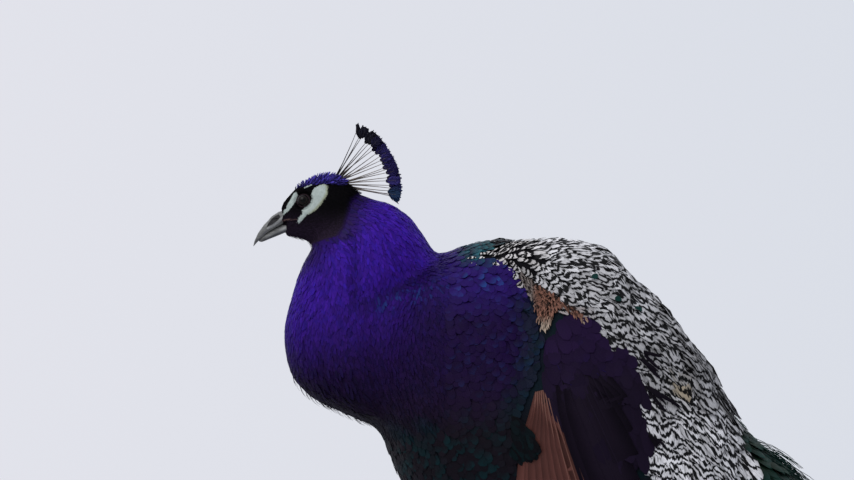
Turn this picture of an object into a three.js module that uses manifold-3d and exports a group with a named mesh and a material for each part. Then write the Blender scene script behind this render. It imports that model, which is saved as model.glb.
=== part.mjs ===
// A peacock (the cock of the Indian peafowl), standing at rest with its neck drawn in and its train on the
// floor: a still, life-size model in millimetres.
//
// The bird faces -X, its left side is towards -Y, +Z is up and the floor is z = 0. While it is being shaped,
// x is measured backwards from the tip of the bill; the finished group is moved so that its origin is under
// the middle of its bounding box, on the floor.
import * as THREE from "three";
import { mergeVertices } from "three/addons/utils/BufferGeometryUtils.js";
import Module from "manifold-3d";

const wasm = await Module();
wasm.setup();

// ---- driving dimensions ------------------------------------------------------------------------------
const SEAT = 0.35; // clearance between neighbouring pieces

const HEAD = { bill: 44, eyeX: 51, eyeZ: 643.5, eyeY: 14.2, eyeRadius: 6.6 };
const CREST = { x: 95, z: 654, shafts: 13, shaft: 0.9, lowest: -14, highest: 73, vane: 17, vaneWidth: 5 };
const LEG = { hipY: 58, ankleX: 316, ankleZ: 152, footY: 60, tarsus: 145, middleToe: 72, claw: 15, spur: 22 };
const PRIMARIES = { count: 5, steepest: 86, flattest: 62, shortest: 235, longest: 300, width: 40 };
const SECONDARIES = { count: 6, steepest: 74, flattest: 58, shortest: 300, longest: 340, width: 52 };
const TAIL = { count: 7, length: 400, width: 54, spread: 26 };
const TRAIN_END = { tips: 8, length: 120, width: 60 };

const COLOURS = {
  blue: 0x2a1a86,
  black: 0x15131b,
  face: 0xb9c4bd,
  green: 0x1d4a45,
  barred: 0xa9a79f,
  violet: 0x1d1232,
  chestnut: 0x6b3f34,
  train: 0x4c6a34,
  tail: 0x4a4038,
  down: 0x6f6252,
  horn: 0x6a6c70,
  scale: 0x7b7368,
  eye: 0x1c120c,
};
const ROUGHNESS = { horn: 0.4, eye: 0.1, scale: 0.6 };

// ---- shaping helpers ---------------------------------------------------------------------------------
const point = (x, y, z) => new THREE.Vector3(x, y, z);
const radians = THREE.MathUtils.degToRad;
const mix = THREE.MathUtils.lerp;
const through = (points) => new THREE.CatmullRomCurve3(points, false, "catmullrom", 0.5);

// A closed mesh as a solid; a mesh that was mapped inside out has its faces turned round.
function solid(geometry) {
  const bare = geometry.clone();
  bare.deleteAttribute("normal");
  bare.deleteAttribute("uv");
  const merged = mergeVertices(bare, 1e-4);
  const corners = new Uint32Array(merged.index.array);
  const build = () =>
    new wasm.Manifold(
      new wasm.Mesh({ numProp: 3, vertProperties: merged.attributes.position.array, triVerts: corners }),
    );
  const made = build();
  if (made.volume() > 0) return made;
  for (let i = 0; i < corners.length; i += 3) {
    [corners[i + 1], corners[i + 2]] = [corners[i + 2], corners[i + 1]];
  }
  return build();
}

// A ball bent so that its surface follows place(around, along), both 0 to 1, with a pole at each end.
function bentBall(place, around, along) {
  const ball = new THREE.SphereGeometry(1, around, along);
  const position = ball.getAttribute("position");
  const uv = ball.getAttribute("uv");
  for (let i = 0; i < position.count; i++) {
    const p = place(uv.getX(i), 1 - uv.getY(i));
    position.setXYZ(i, p.x, p.y, p.z);
  }
  return solid(ball);
}

// A form on the bird's middle plane. A station is [upper x, upper z, lower x, lower z, half width]: the
// outline seen from the side runs through its two points. grow makes the form that much larger all round.
function form(stations, { around = 20, rings = 1, grow = 0 } = {}) {
  const upper = through(stations.map(([x, z]) => point(x, 0, z)));
  const lower = through(stations.map(([, , x, z]) => point(x, 0, z)));
  const width = through(stations.map(([, , , , w], i) => point(i, w, 0)));
  const axis = (t) => upper.getPoint(t).add(lower.getPoint(t)).multiplyScalar(0.5);
  const nose = axis(0).sub(axis(0.02)).normalize();
  const stern = axis(1).sub(axis(0.98)).normalize();
  return bentBall(
    (u, v) => {
      const centre = axis(v);
      if (v < 1e-6) return centre.addScaledVector(nose, grow);
      if (v > 1 - 1e-6) return centre.addScaledVector(stern, grow);
      const half = upper.getPoint(v).sub(centre);
      half.setLength(half.length() + grow);
      const side = Math.max(width.getPoint(v).y, 0.1) + grow;
      const turn = 2 * Math.PI * u;
      return centre.addScaledVector(half, Math.cos(turn)).add(point(0, side * Math.sin(turn), 0));
    },
    around,
    rings * (stations.length - 1),
  );
}

// A limb, toe, claw or spur. A station is [x, y, z, half depth, half width], depth lying in the plane of the
// limb and the direction that hint gives.
function limb(stations, { around = 8, rings = 1, grow = 0, hint = point(1, 0, 0) } = {}) {
  const line = through(stations.map(([x, y, z]) => point(x, y, z)));
  const size = through(stations.map(([, , , a, b]) => point(a, b, 0)));
  return bentBall(
    (u, v) => {
      const centre = line.getPoint(v);
      const forward = line.getTangent(v);
      if (v < 1e-6) return centre.addScaledVector(forward, -grow);
      if (v > 1 - 1e-6) return centre.addScaledVector(forward, grow);
      const side = forward.clone().cross(hint).normalize();
      const deep = side.clone().cross(forward).normalize();
      const { x: a, y: b } = size.getPoint(v);
      const turn = 2 * Math.PI * u;
      return centre
        .addScaledVector(deep, (Math.max(a, 0.05) + grow) * Math.cos(turn))
        .addScaledVector(side, (Math.max(b, 0.05) + grow) * Math.sin(turn));
    },
    around,
    rings * (stations.length - 1),
  );
}

// A layer of feathers on the left side. A station is [[x, y, z] of one edge, [x, y, z] of the other, bulge,
// thickness]: the layer spans the two edges, its middle stands out by the bulge.
function layer(stations, { around = 4, rings = 1, grow = 0 } = {}) {
  const one = through(stations.map(([p]) => point(...p)));
  const two = through(stations.map(([, p]) => point(...p)));
  const shape = through(stations.map(([, , bulge, thick]) => point(bulge, thick, 0)));
  const axis = (t) => one.getPoint(t).add(two.getPoint(t)).multiplyScalar(0.5);
  return bentBall(
    (u, v) => {
      const centre = axis(v);
      const flow = axis(Math.min(v + 0.02, 1)).sub(axis(Math.max(v - 0.02, 0))).normalize();
      if (v < 1e-6) return centre.addScaledVector(flow, -grow);
      if (v > 1 - 1e-6) return centre.addScaledVector(flow, grow);
      const half = one.getPoint(v).sub(centre);
      half.setLength(half.length() + grow);
      const out = half.clone().cross(flow).normalize();
      if (out.y > 0) out.negate();
      const { x: bulge, y: thick } = shape.getPoint(v);
      const turn = 2 * Math.PI * u;
      const across = Math.cos(turn);
      const lift = bulge * (1 - across * across) + (Math.max(thick, 0.1) / 2 + grow) * Math.sin(turn);
      return centre.addScaledVector(half, across).addScaledVector(out, lift);
    },
    around,
    rings * (stations.length - 1),
  );
}

// One long feather, as a thin leaf from root to tip, across being the direction of its width.
function blade(root, tip, across, width, thick, grow = 0) {
  const at = (t, w) => {
    const p = root.clone().lerp(tip, t);
    return [p.clone().addScaledVector(across, w / 2).toArray(), p.addScaledVector(across, -w / 2).toArray()];
  };
  const station = (t, share, deep) => [...at(t, width * share), 0, thick * deep];
  const stations = [station(0, 0.1, 0.2), station(0.3, 0.9, 1), station(0.8, 1, 0.9), station(0.95, 0.66, 0.6)];
  return layer([...stations, station(1, 0.02, 0.1)], { grow });
}

const joined = (solids) => wasm.Manifold.union(solids);
const mirrored = (made) => made.mirror([0, 1, 0]);

// What is left of made beside its neighbours: its largest piece, as slivers are dropped.
function beside(made, neighbours) {
  const left = neighbours.reduce((rest, neighbour) => rest.subtract(neighbour), made);
  return left.decompose().reduce((a, b) => (a.volume() > b.volume() ? a : b));
}

// ---- head, bill, eyes and crest ----------------------------------------------------------------------
const headForm = (grow = 0) =>
  form(
    [
      [22, 624, 22, 624, 0],
      [25, 634, 27, 613, 9.5],
      [32.5, 646, 36, 608, 14],
      [42.5, 657, 46, 605, 17.5],
      [54, 665.5, 58, 602, 20],
      [66, 671.5, 71, 598, 22.5],
      [79, 672.5, 86, 596, 24],
      [92, 667, 99, 600, 23],
      [105, 653, 109, 612, 17],
      [111, 634, 111, 634, 0],
    ],
    { around: 16, grow },
  );

const upperBill = (grow = 0) =>
  form(
    [
      [0, 598, 0, 598, 0],
      [1.4, 604, 2.2, 600.4, 1.5],
      [5, 612, 6.5, 605, 3.1],
      [11, 620.5, 13.5, 610.6, 5.2],
      [18, 627.5, 21.5, 615.6, 6.9],
      [26, 632.6, 29.5, 620, 8.2],
      [34, 635, 37, 622, 8.2],
      [HEAD.bill, 630, HEAD.bill, 630, 0],
    ],
    { around: 10, grow },
  );

const lowerBill = (grow = 0) =>
  form(
    [
      [5, 602.2, 5, 602.2, 0],
      [8.5, 605.6, 9, 602.6, 2.4],
      [15, 610.3, 16.5, 605.8, 4.6],
      [23, 615, 25, 609.2, 6.4],
      [31, 619.6, 33, 612.6, 7.5],
      [38, 621, 39.5, 614.5, 7.4],
      [HEAD.bill, 618, HEAD.bill, 618, 0],
    ],
    { around: 10, grow },
  );

const eyeBall = (grow = 0) =>
  solid(
    new THREE.SphereGeometry(HEAD.eyeRadius + grow, 10, 7)
      .rotateX(Math.PI / 2)
      .translate(HEAD.eyeX, -HEAD.eyeY, HEAD.eyeZ),
  );

// The fan stands in the middle plane: bare shafts that spread from the crown, each with a small vane.
function crestFan() {
  const pieces = [];
  for (let i = 0; i < CREST.shafts; i++) {
    const share = i / (CREST.shafts - 1);
    const angle = radians(mix(CREST.highest, CREST.lowest, share));
    const direction = point(Math.cos(angle), 0, Math.sin(angle));
    const root = point(CREST.x - 6 + 10 * share, 0, CREST.z + 3 - 6 * share);
    const reach = mix(68, 49.5, share ** 0.85);
    const shaft = new THREE.CylinderGeometry(CREST.shaft / 2, CREST.shaft, reach - 4, 4);
    const lean = new THREE.Quaternion().setFromUnitVectors(point(0, 1, 0), direction);
    const middle = root.clone().addScaledVector(direction, reach / 2 - 2);
    pieces.push(solid(shaft.applyQuaternion(lean).translate(...middle.toArray())));
    const across = point(-direction.z, 0, direction.x);
    const from = root.clone().addScaledVector(direction, reach - CREST.vane);
    const to = root.clone().addScaledVector(direction, reach);
    const station = (t, w, thick) => {
      const p = from.clone().lerp(to, t);
      const edge = (s) => p.clone().addScaledVector(across, s * w).toArray();
      return [edge(1), edge(-1), 0, thick];
    };
    const w = CREST.vaneWidth;
    const leaf = [station(0, 0.3, 0.8), station(0.35, 0.8 * w, 2.4), station(0.75, w, 2.6), station(1, 0.3, 0.8)];
    pieces.push(layer(leaf));
  }
  const knot = new THREE.SphereGeometry(1, 8, 6).scale(9, 3, 5).translate(CREST.x - 3, 0, CREST.z + 1);
  return joined([...pieces, solid(knot)]);
}

// ---- neck and trunk ----------------------------------------------------------------------------------
// The neck is drawn in: it falls back from the head, then swells forward into the crop.
const neckForm = (grow = 0) =>
  form(
    [
      [78, 640, 78, 640, 0],
      [106, 648, 66, 602, 23],
      [138, 642, 58, 595, 36],
      [159, 627, 50, 582, 45],
      [174, 606, 42, 565, 51],
      [186, 584, 36, 546, 55],
      [193, 560, 32, 526, 59],
      [195, 532, 31, 506, 64],
      [192, 502, 34, 484, 69],
      [184, 472, 41, 464, 70],
      [172, 444, 58, 446, 66],
      [156, 424, 88, 432, 50],
      [122, 418, 122, 418, 0],
    ],
    { around: 22, grow },
  );

const trunkForm = (grow = 0) =>
  form(
    [
      [108, 500, 108, 500, 0],
      [135, 562, 110, 432, 64],
      [183, 590, 128, 408, 91],
      [232, 603, 146, 366, 107],
      [283, 595, 168, 322, 113],
      [328, 566, 204, 290, 112],
      [370, 525, 255, 273, 106],
      [410, 478, 310, 268, 95],
      [446, 430, 365, 273, 80],
      [476, 386, 415, 286, 62],
      [500, 350, 455, 300, 40],
      [505, 318, 505, 318, 0],
    ],
    { around: 22, grow },
  );

// ---- wings -------------------------------------------------------------------------------------------
// Barred scapulars and coverts, the hump that hides the top of the folded wing.
const scapulars = (grow = 0) =>
  layer(
    [
      [[226, -40, 582], [228, -42, 580], 0, 0],
      [[262, -22, 592], [262, -84, 566], 8, 24],
      [[300, -20, 595], [296, -106, 534], 20, 40],
      [[334, -20, 588], [342, -114, 502], 30, 50],
      [[368, -20, 550], [378, -116, 466], 30, 50],
      [[408, -20, 504], [390, -114, 410], 28, 46],
      [[456, -22, 448], [402, -108, 352], 26, 42],
      [[502, -26, 386], [432, -96, 302], 20, 34],
      [[542, -32, 324], [478, -78, 268], 12, 22],
      [[560, -50, 270], [556, -54, 266], 0, 0],
    ],
    { around: 12, grow },
  );

// The dark panel of the folded wing: shoulder and coverts, over the roots of the long feathers.
const coverts = (grow = 0) =>
  layer(
    [
      [[278, -88, 552], [274, -90, 548], 0, 0],
      [[318, -106, 548], [272, -104, 484], 6, 16],
      [[362, -112, 508], [270, -108, 424], 9, 20],
      [[394, -110, 456], [282, -106, 368], 9, 20],
      [[412, -106, 400], [312, -102, 326], 6, 15],
      [[420, -100, 350], [356, -98, 300], 3, 9],
      [[408, -97, 306], [404, -97, 302], 0, 0],
    ],
    { around: 8, grow },
  );

// A fan of long wing feathers from the folded wrist, the foremost hanging steepest.
function wingFan({ count, steepest, flattest, shortest, longest, width }, from, step, thick, grow) {
  const blades = [];
  for (let i = 0; i < count; i++) {
    const share = i / (count - 1);
    const angle = radians(mix(steepest, flattest, share));
    const reach = mix(shortest, longest, share);
    const root = from.clone().addScaledVector(step, share);
    const tip = root.clone().add(point(Math.cos(angle) * reach, 10, -Math.sin(angle) * reach));
    const across = point(Math.sin(angle), 0, Math.cos(angle));
    root.y -= 1.2 * i;
    tip.y -= 1.2 * i;
    blades.push(blade(root, tip, across, width, thick, grow));
  }
  return joined(blades);
}

const secondaries = (grow = 0) =>
  wingFan(SECONDARIES, point(300, -105, 480), point(62, 7, 20), 17, grow);

const primaries = () => wingFan(PRIMARIES, point(285, -101, 430), point(16, 3, 0), 12, 0);

// ---- train and tail ----------------------------------------------------------------------------------
// The train springs from the back, falls behind the wings and lies along the floor.
const TRAIN = [
  [318, 566, 318, 566, 0],
  [350, 556, 345, 520, 38],
  [398, 512, 385, 455, 56],
  [446, 464, 420, 392, 70],
  [494, 412, 452, 334, 84],
  [546, 362, 486, 278, 97],
  [596, 308, 536, 224, 111],
  [645, 250, 597, 166, 126],
  [710, 190, 665, 104, 142],
  [790, 132, 752, 40, 158],
  [880, 92, 848, -42, 171],
  [1000, 66, 985, -56, 182],
  [1140, 57, 1132, -54, 188],
  [1280, 50, 1274, -47, 184],
  [1400, 42, 1396, -40, 168],
  [1490, 32, 1488, -31, 138],
  [1545, 20, 1544, -20, 90],
  [1570, 0, 1570, 0, 0],
];

function trainBody(grow = 0) {
  const length = TRAIN.at(-1)[0];
  const tips = [];
  for (let i = 0; i < TRAIN_END.tips; i++) {
    const share = (2 * i) / (TRAIN_END.tips - 1) - 1;
    const angle = radians(34 * share);
    const root = point(length - 190 + 30 * (1 - share * share), 118 * share, 6);
    const reach = TRAIN_END.length + 70 * (1 - share * share);
    const tip = root.clone().add(point(Math.cos(angle) * reach, Math.sin(angle) * reach, -2));
    const across = point(-Math.sin(angle), Math.cos(angle), 0);
    tips.push(blade(root, tip, across, TRAIN_END.width, 12, grow));
  }
  return joined([form(TRAIN, { around: 16, grow }), ...tips]).trimByPlane([0, 0, 1], 0);
}

// The stiff tail under the train, which holds it up: a shallow fan of long feathers.
function tailFan(grow = 0) {
  const slope = radians(37);
  const blades = [];
  for (let i = 0; i < TAIL.count; i++) {
    const share = (2 * i) / (TAIL.count - 1) - 1;
    const turn = radians((TAIL.spread / 2) * share);
    const reach = TAIL.length * (1 - 0.08 * share * share);
    const along = point(Math.cos(slope) * Math.cos(turn), Math.sin(turn), -Math.sin(slope) * Math.cos(turn));
    const root = point(452, 34 * share, 262 - 3 * Math.abs(share));
    const tip = root.clone().addScaledVector(along, reach);
    const across = point(0, 1, 0);
    blades.push(blade(root, tip, across, TAIL.width, 5 + 2 * (1 - Math.abs(share)), grow));
  }
  return joined(blades);
}

// ---- legs --------------------------------------------------------------------------------------------
// side is -1 on the left, 1 on the right; step moves the foot along x.
const thigh = (side, step, grow = 0) =>
  limb(
    [
      [262, side * 52, 362, 0, 0],
      [252, side * 56, 330, 44, 34],
      [250, side * LEG.hipY, 292, 52, 36],
      [262, side * LEG.hipY, 250, 42, 30],
      [284 + step / 2, side * LEG.hipY, 208, 25, 20],
      [304 + step, side * LEG.footY, 174, 12, 11],
      [LEG.ankleX + step, side * LEG.footY, LEG.ankleZ, 0, 0],
    ],
    { around: 12, grow },
  );

const shank = (side, step) => {
  const x = LEG.ankleX + step;
  const y = side * LEG.footY;
  return limb([
    [x - 6, y, 176, 0, 0],
    [x - 2, y, 166, 8, 7.5],
    [x + 1, y, 153, 10.5, 9],
    [x - 6, y, 134, 6.8, 6],
    [x - 24, y, 80, 6, 5.6],
    [x - 40, y, 30, 7.2, 6.6],
    [x - 45, y, 13, 0, 0],
  ]);
};

// name, direction from straight ahead in degrees (outwards), length, thickness
const TOES = [
  ["middle", 2, LEG.middleToe, 5.6],
  ["outer", 34, 52, 5],
  ["inner", -32, 50, 5],
  ["hind", 168, 27, 4],
];

const toeLine = (side, step, turn, length) => {
  const angle = radians(turn);
  const start = point(LEG.ankleX + step - 45, side * LEG.footY, 8);
  const ahead = point(-Math.cos(angle), side * Math.sin(angle), 0);
  return { start, ahead, end: start.clone().addScaledVector(ahead, length) };
};

const ball = (centre, x, y, z) =>
  solid(new THREE.SphereGeometry(1, 8, 5).scale(x, y, z).translate(...centre.toArray()));

function foot(side, step) {
  const pieces = [];
  for (const [, turn, length, thick] of TOES) {
    const { start, ahead } = toeLine(side, step, turn, length);
    const at = (t, z, r) => [...start.clone().addScaledVector(ahead, t * length).setZ(z).toArray(), r, r];
    const line = [at(-0.06, 8, 0), at(0.1, 5.4, thick), at(0.5, 0.68 * thick, 0.92 * thick)];
    line.push(at(0.9, 0.56 * thick, 0.78 * thick), at(1, 0.6 * thick, 0));
    pieces.push(limb(line, { around: 6, hint: point(0, 0, 1) }));
  }
  pieces.push(ball(point(LEG.ankleX + step - 45, side * LEG.footY, 9), 10, 9, 8));
  return joined(pieces).trimByPlane([0, 0, 1], 0);
}

function claw(side, step, [, turn, length, thick]) {
  const { end, ahead } = toeLine(side, step, turn, length);
  const reach = turn > 90 ? LEG.claw * 0.72 : LEG.claw;
  const at = (t, z, r) => [...end.clone().addScaledVector(ahead, t * reach).setZ(z).toArray(), r, r * 0.8];
  const stations = [at(-0.3, 3.4, 0), at(-0.1, 3.8, 0.5 * thick), at(0.4, 4.6, 0.44 * thick), at(0.8, 2.6, 0.9)];
  return limb([...stations, at(1, 0.7, 0)], { around: 6, hint: point(0, 0, 1) });
}

function spur(side, step) {
  const x = LEG.ankleX + step - 30;
  const y = side * (LEG.footY - 3);
  const along = (t, r) => [x + 4 + t * LEG.spur * 0.86, y - side * t * LEG.spur * 0.4, 62 + 5 * t * t, r, r];
  const stations = [along(0, 0), along(0.12, 3.6), along(0.6, 2.1), along(0.9, 0.8), along(1, 0)];
  return limb(stations, { around: 6, hint: point(0, 0, 1) });
}

// ---- the whole bird ----------------------------------------------------------------------------------
const STEP = { left: -10, right: 16 }; // the left foot stands a little ahead
const nodes = [];
const add = (name, made, colour) => nodes.push({ name, made, colour });

const neckCut = new THREE.Vector3(49, 0, -44).normalize(); // across the nape, from throat to occiput
const neckCutAt = neckCut.dot(point(84, 0, 625));
const cropCut = new THREE.Vector3(0.2, 0, -0.98).normalize(); // across the thick of the neck
const cropCutAt = cropCut.dot(point(112, 0, 556));
const before = (made, normal, at) => made.trimByPlane(normal.clone().negate().toArray(), -at + SEAT / 2);
const after = (made, normal, at) => made.trimByPlane(normal.toArray(), at + SEAT / 2);

const headAndNeck = joined([headForm(), neckForm()]);
const grownNeck = neckForm(SEAT);
const grownTrunk = trunkForm(SEAT);
const grownHead = joined([headForm(SEAT), grownNeck]);
const eyes = [eyeBall(SEAT), mirrored(eyeBall(SEAT))];
const grownBill = [upperBill(SEAT), lowerBill(SEAT)];

add("head", beside(before(headAndNeck, neckCut, neckCutAt), [...eyes, ...grownBill]), "black");
add("bill_upper", beside(upperBill(), []), "horn");
add("bill_lower", beside(lowerBill(), [upperBill(SEAT)]), "horn");
add("eye_left", eyeBall(), "eye");
add("eye_right", mirrored(eyeBall()), "eye");
add("crest", beside(crestFan(), [grownHead]), "black");

const neck = after(headAndNeck, neckCut, neckCutAt);
add("neck_upper", beside(before(neck, cropCut, cropCutAt), [grownTrunk]), "blue");
add("neck_lower", beside(after(neck, cropCut, cropCutAt), [grownTrunk]), "blue");

const thighs = { left: thigh(-1, STEP.left, SEAT), right: thigh(1, STEP.right, SEAT) };
add("trunk", trunkForm(), "green");

const train = beside(trainBody(), [grownTrunk]);
const grownTrain = joined([form(TRAIN, { around: 16, grow: SEAT })]);
// The train is parted twice across its length: where it leaves the rump and where it meets the floor.
const rumpCut = new THREE.Vector3(0.7, 0, -0.71).normalize();
const rumpCutAt = rumpCut.dot(point(500, 0, 360));
const floorCut = new THREE.Vector3(0.94, 0, -0.34).normalize();
const floorCutAt = floorCut.dot(point(880, 0, 40));
add("train_upper", beside(before(train, rumpCut, rumpCutAt), []), "train");
add("train_middle", before(after(train, rumpCut, rumpCutAt), floorCut, floorCutAt), "train");
add("train_lower", after(train, floorCut, floorCutAt), "train");
add("tail", beside(tailFan(), [grownTrunk, grownTrain]), "tail");

const sides = [
  ["left", -1, (made) => made],
  ["right", 1, mirrored],
];
for (const [name, side, turned] of sides) {
  const step = STEP[name];
  const bodies = [grownTrunk, grownTrain];
  const outer = [scapulars, coverts, secondaries].map((made) => turned(made(SEAT)));
  add(`wing_${name}_scapulars`, beside(turned(scapulars()), bodies), "barred");
  add(`wing_${name}_coverts`, beside(turned(coverts()), [...bodies, outer[0]]), "violet");
  add(`wing_${name}_secondaries`, beside(turned(secondaries()), [...bodies, ...outer.slice(0, 2)]), "violet");
  add(`wing_${name}_primaries`, beside(turned(primaries()), [...bodies, ...outer, thighs[name]]), "chestnut");
  add(`thigh_${name}`, beside(thigh(side, step), [grownTrunk]), "down");
}

for (const [name, side] of sides) {
  const step = STEP[name];
  const lower = foot(side, step);
  const claws = TOES.map((toe) => claw(side, step, toe));
  const shin = beside(shank(side, step), [thigh(side, step, SEAT), lower.translate([0, 0, SEAT])]);
  add(`shank_${name}`, beside(shin, [lower]), "scale");
  add(`foot_${name}`, beside(lower, claws), "scale");
  TOES.forEach(([toe], i) => add(`claw_${name}_${toe}`, claws[i], "horn"));
  add(`spur_${name}`, beside(spur(side, step), [shin]), "horn");
}

// ---- the scene graph ---------------------------------------------------------------------------------
const peacock = new THREE.Group();
for (const { name, made, colour } of nodes) {
  const { vertProperties, triVerts } = made.getMesh();
  const geometry = new THREE.BufferGeometry();
  geometry.setAttribute("position", new THREE.BufferAttribute(new Float32Array(vertProperties), 3));
  geometry.setIndex(new THREE.BufferAttribute(new Uint32Array(triVerts), 1));
  geometry.computeVertexNormals();
  const roughness = ROUGHNESS[colour] ?? 0.75;
  const mesh = new THREE.Mesh(geometry, new THREE.MeshStandardMaterial({ color: COLOURS[colour], roughness }));
  mesh.name = name;
  peacock.add(mesh);
}
const box = new THREE.Box3().setFromObject(peacock);
peacock.position.x = -(box.min.x + box.max.x) / 2;
peacock.position.y = -(box.min.y + box.max.y) / 2;

export default peacock;
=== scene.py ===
"""A peacock at rest, life-size: skin, feathers, horn and eyes built over its solid form."""

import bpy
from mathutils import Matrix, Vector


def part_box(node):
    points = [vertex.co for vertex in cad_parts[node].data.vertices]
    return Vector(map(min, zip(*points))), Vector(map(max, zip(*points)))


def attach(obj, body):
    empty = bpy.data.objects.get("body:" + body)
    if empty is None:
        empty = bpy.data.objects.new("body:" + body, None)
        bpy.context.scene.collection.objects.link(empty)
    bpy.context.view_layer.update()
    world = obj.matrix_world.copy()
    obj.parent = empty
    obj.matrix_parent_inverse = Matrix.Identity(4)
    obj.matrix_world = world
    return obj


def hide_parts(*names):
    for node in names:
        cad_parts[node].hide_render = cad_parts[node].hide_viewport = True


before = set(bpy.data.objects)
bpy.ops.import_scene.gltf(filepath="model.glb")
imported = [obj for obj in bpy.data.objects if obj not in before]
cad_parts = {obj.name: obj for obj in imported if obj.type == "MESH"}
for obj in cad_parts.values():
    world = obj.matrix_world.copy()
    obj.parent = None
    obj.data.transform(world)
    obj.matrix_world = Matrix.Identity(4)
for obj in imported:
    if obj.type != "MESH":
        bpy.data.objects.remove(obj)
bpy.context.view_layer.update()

import math

import bpy
import numpy as np
from mathutils import Vector
from mathutils.bvhtree import BVHTree

# ---- measures --------------------------------------------------------------------------------------------
# Places on the bird are in millimetres: x back from the tip of the bill, y to the bird's right, z up.
MM = 0.001
TO_FRAME = np.array([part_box("bill_upper")[0].x, 0.0, 0.0])
SEED = 11
BAR_PITCH = 8.3  # from one black bar to the next on a scapular
BARB_PITCH = 1.3  # drawn coarser than real barbs, which are too fine to show
TUFT_PATCH = 0.0015  # half the width of a small feather's patch on the unwrap of the skin it grows from


def to_frame(points):
    """Millimetres on the bird to metres in the frame."""
    return np.asarray(points, float) * MM + TO_FRAME


def to_bird(points):
    """Metres in the frame to millimetres on the bird."""
    return (np.asarray(points, float) - TO_FRAME) / MM


# ---- small tools -----------------------------------------------------------------------------------------
def random_for(key):
    return np.random.default_rng(SEED + key)


def linear(code):
    """An sRGB hex value as linear red, green and blue."""
    channels = [int(code[i : i + 2], 16) / 255 for i in (1, 3, 5)]
    return np.array([c / 12.92 if c <= 0.04045 else ((c + 0.055) / 1.055) ** 2.4 for c in channels])


def unit(vectors):
    """Vectors of length one, along the last axis."""
    vectors = np.asarray(vectors, float)
    return vectors / np.maximum(np.linalg.norm(vectors, axis=-1, keepdims=True), 1e-9)


def smooth(low, high, value):
    """0 below low, 1 above high, an even slope between; low may be the higher of the two."""
    t = np.clip((value - low) / (high - low), 0, 1)
    return t * t * (3 - 2 * t)


def blend(a, b, share):
    """From a to b by share; each is numbers or an sRGB hex value."""
    a, b = (linear(value) if isinstance(value, str) else value for value in (a, b))
    return a + (b - a) * np.asarray(share, float)[..., None]


def layered(colour, *layers):
    """A colour with (colour, share) layers laid over it one by one."""
    for over, share in layers:
        colour = blend(colour, over, share)
    return colour


def select(*things):
    """Selects these objects alone, the first as the active one."""
    for thing in bpy.context.selected_objects:
        thing.select_set(False)
    for thing in things:
        thing.select_set(True)
        bpy.context.view_layer.objects.active = things[0]


def edit(piece, *steps):
    """Runs (operator, settings) steps on the whole of a mesh."""
    select(piece)
    bpy.ops.object.mode_set(mode="EDIT")
    bpy.ops.mesh.select_all(action="SELECT")
    for operator, settings in steps:
        operator(**settings)
    bpy.ops.object.mode_set(mode="OBJECT")


def apply_modifier(piece, kind, **settings):
    select(piece)
    modifier = piece.modifiers.new(kind, kind)
    for key, value in settings.items():
        setattr(modifier, key, value)
    bpy.ops.object.modifier_apply(modifier=modifier.name)


def read(items, key, width=3, kind=float):
    """One property of all the items of a mesh's collection, a row for each."""
    flat = np.empty(width * len(items), kind)
    items.foreach_get(key, flat)
    return flat.reshape(-1, width)


def coordinates(mesh):
    """A mesh's vertices in millimetres on the bird."""
    return to_bird(read(mesh.vertices, "co"))


def set_coordinates(mesh, points):
    mesh.vertices.foreach_set("co", to_frame(points).ravel())
    mesh.update()


def vertex_normals(mesh):
    return read(mesh.vertex_normals, "vector")


def finish_piece(piece, material, slot, *nodes):
    """Gives a piece its material, and lets it stand for CAD nodes; slot is not used."""
    piece.data.materials.clear()
    piece.data.materials.append(material)
    select(piece)
    bpy.ops.object.shade_smooth()
    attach(piece, "root")
    if nodes:
        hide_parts(*nodes)


# ---- materials -------------------------------------------------------------------------------------------
ALL = slice(None)


def add(tree, kind, *inputs, out=0, settings=None, stops=(), **named):
    """Adds a shader node with its settings and links, and returns the output that out names.

    kind may end in an operation. inputs go in the order of the node's own sockets, named ones by their
    name; each is a value, a socket that feeds it or None. stops are a ramp's (place, sRGB hex value).
    """
    kind, _, operation = kind.partition(" ")
    made = tree.nodes.new("ShaderNode" + kind)
    if operation:
        made.operation = operation
    for key, value in (settings or {}).items():
        setattr(made, key, value)
    while stops and len(made.color_ramp.elements) < len(stops):
        made.color_ramp.elements.new(0.5)
    for index, (place, code) in enumerate(stops):
        made.color_ramp.elements[index].position = place
        made.color_ramp.elements[index].color = (*linear(code), 1.0)
    for key, value in [*enumerate(inputs), *named.items()]:
        if isinstance(value, bpy.types.NodeSocket):
            tree.links.new(value, made.inputs[key])
        elif value is not None:
            made.inputs[key].default_value = value
    return made.outputs[out]


def new_material(name, **shader):
    """A material with its Principled shader set; returns the material and its tree."""
    material = bpy.data.materials.new(name)
    material.use_nodes = True
    for key, value in shader.items():
        material.node_tree.nodes["Principled BSDF"].inputs[key.replace("_", " ")].default_value = value
    return material, material.node_tree


def wire(tree, colour, height=None, strength=0.35, distance=0.0004):
    """Leads a colour, and the height of a fine relief, to the shader."""
    shader = tree.nodes["Principled BSDF"].inputs
    tree.links.new(colour, shader["Base Color"])
    if height:
        bump = add(tree, "Bump", Strength=strength, Distance=distance, Height=height)
        tree.links.new(bump, shader["Normal"])


# Settings of the nodes that read what pieces carry on their vertices.
TINT, RIM, VANE, SPAN = ({"attribute_name": key} for key in ("tint", "rim", "vane", "span"))


def vane_sockets(tree):
    """Across (-1 to 1), along (0 to 1) and chance (0 to 1) on a feather, then its millimetres both ways."""
    vane = add(tree, "SeparateXYZ", add(tree, "Attribute", settings=VANE, out="Vector"), out=ALL)
    span = add(tree, "SeparateXYZ", add(tree, "Attribute", settings=SPAN, out="Vector"), out=ALL)
    return [*vane, *span[:2]]


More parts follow.
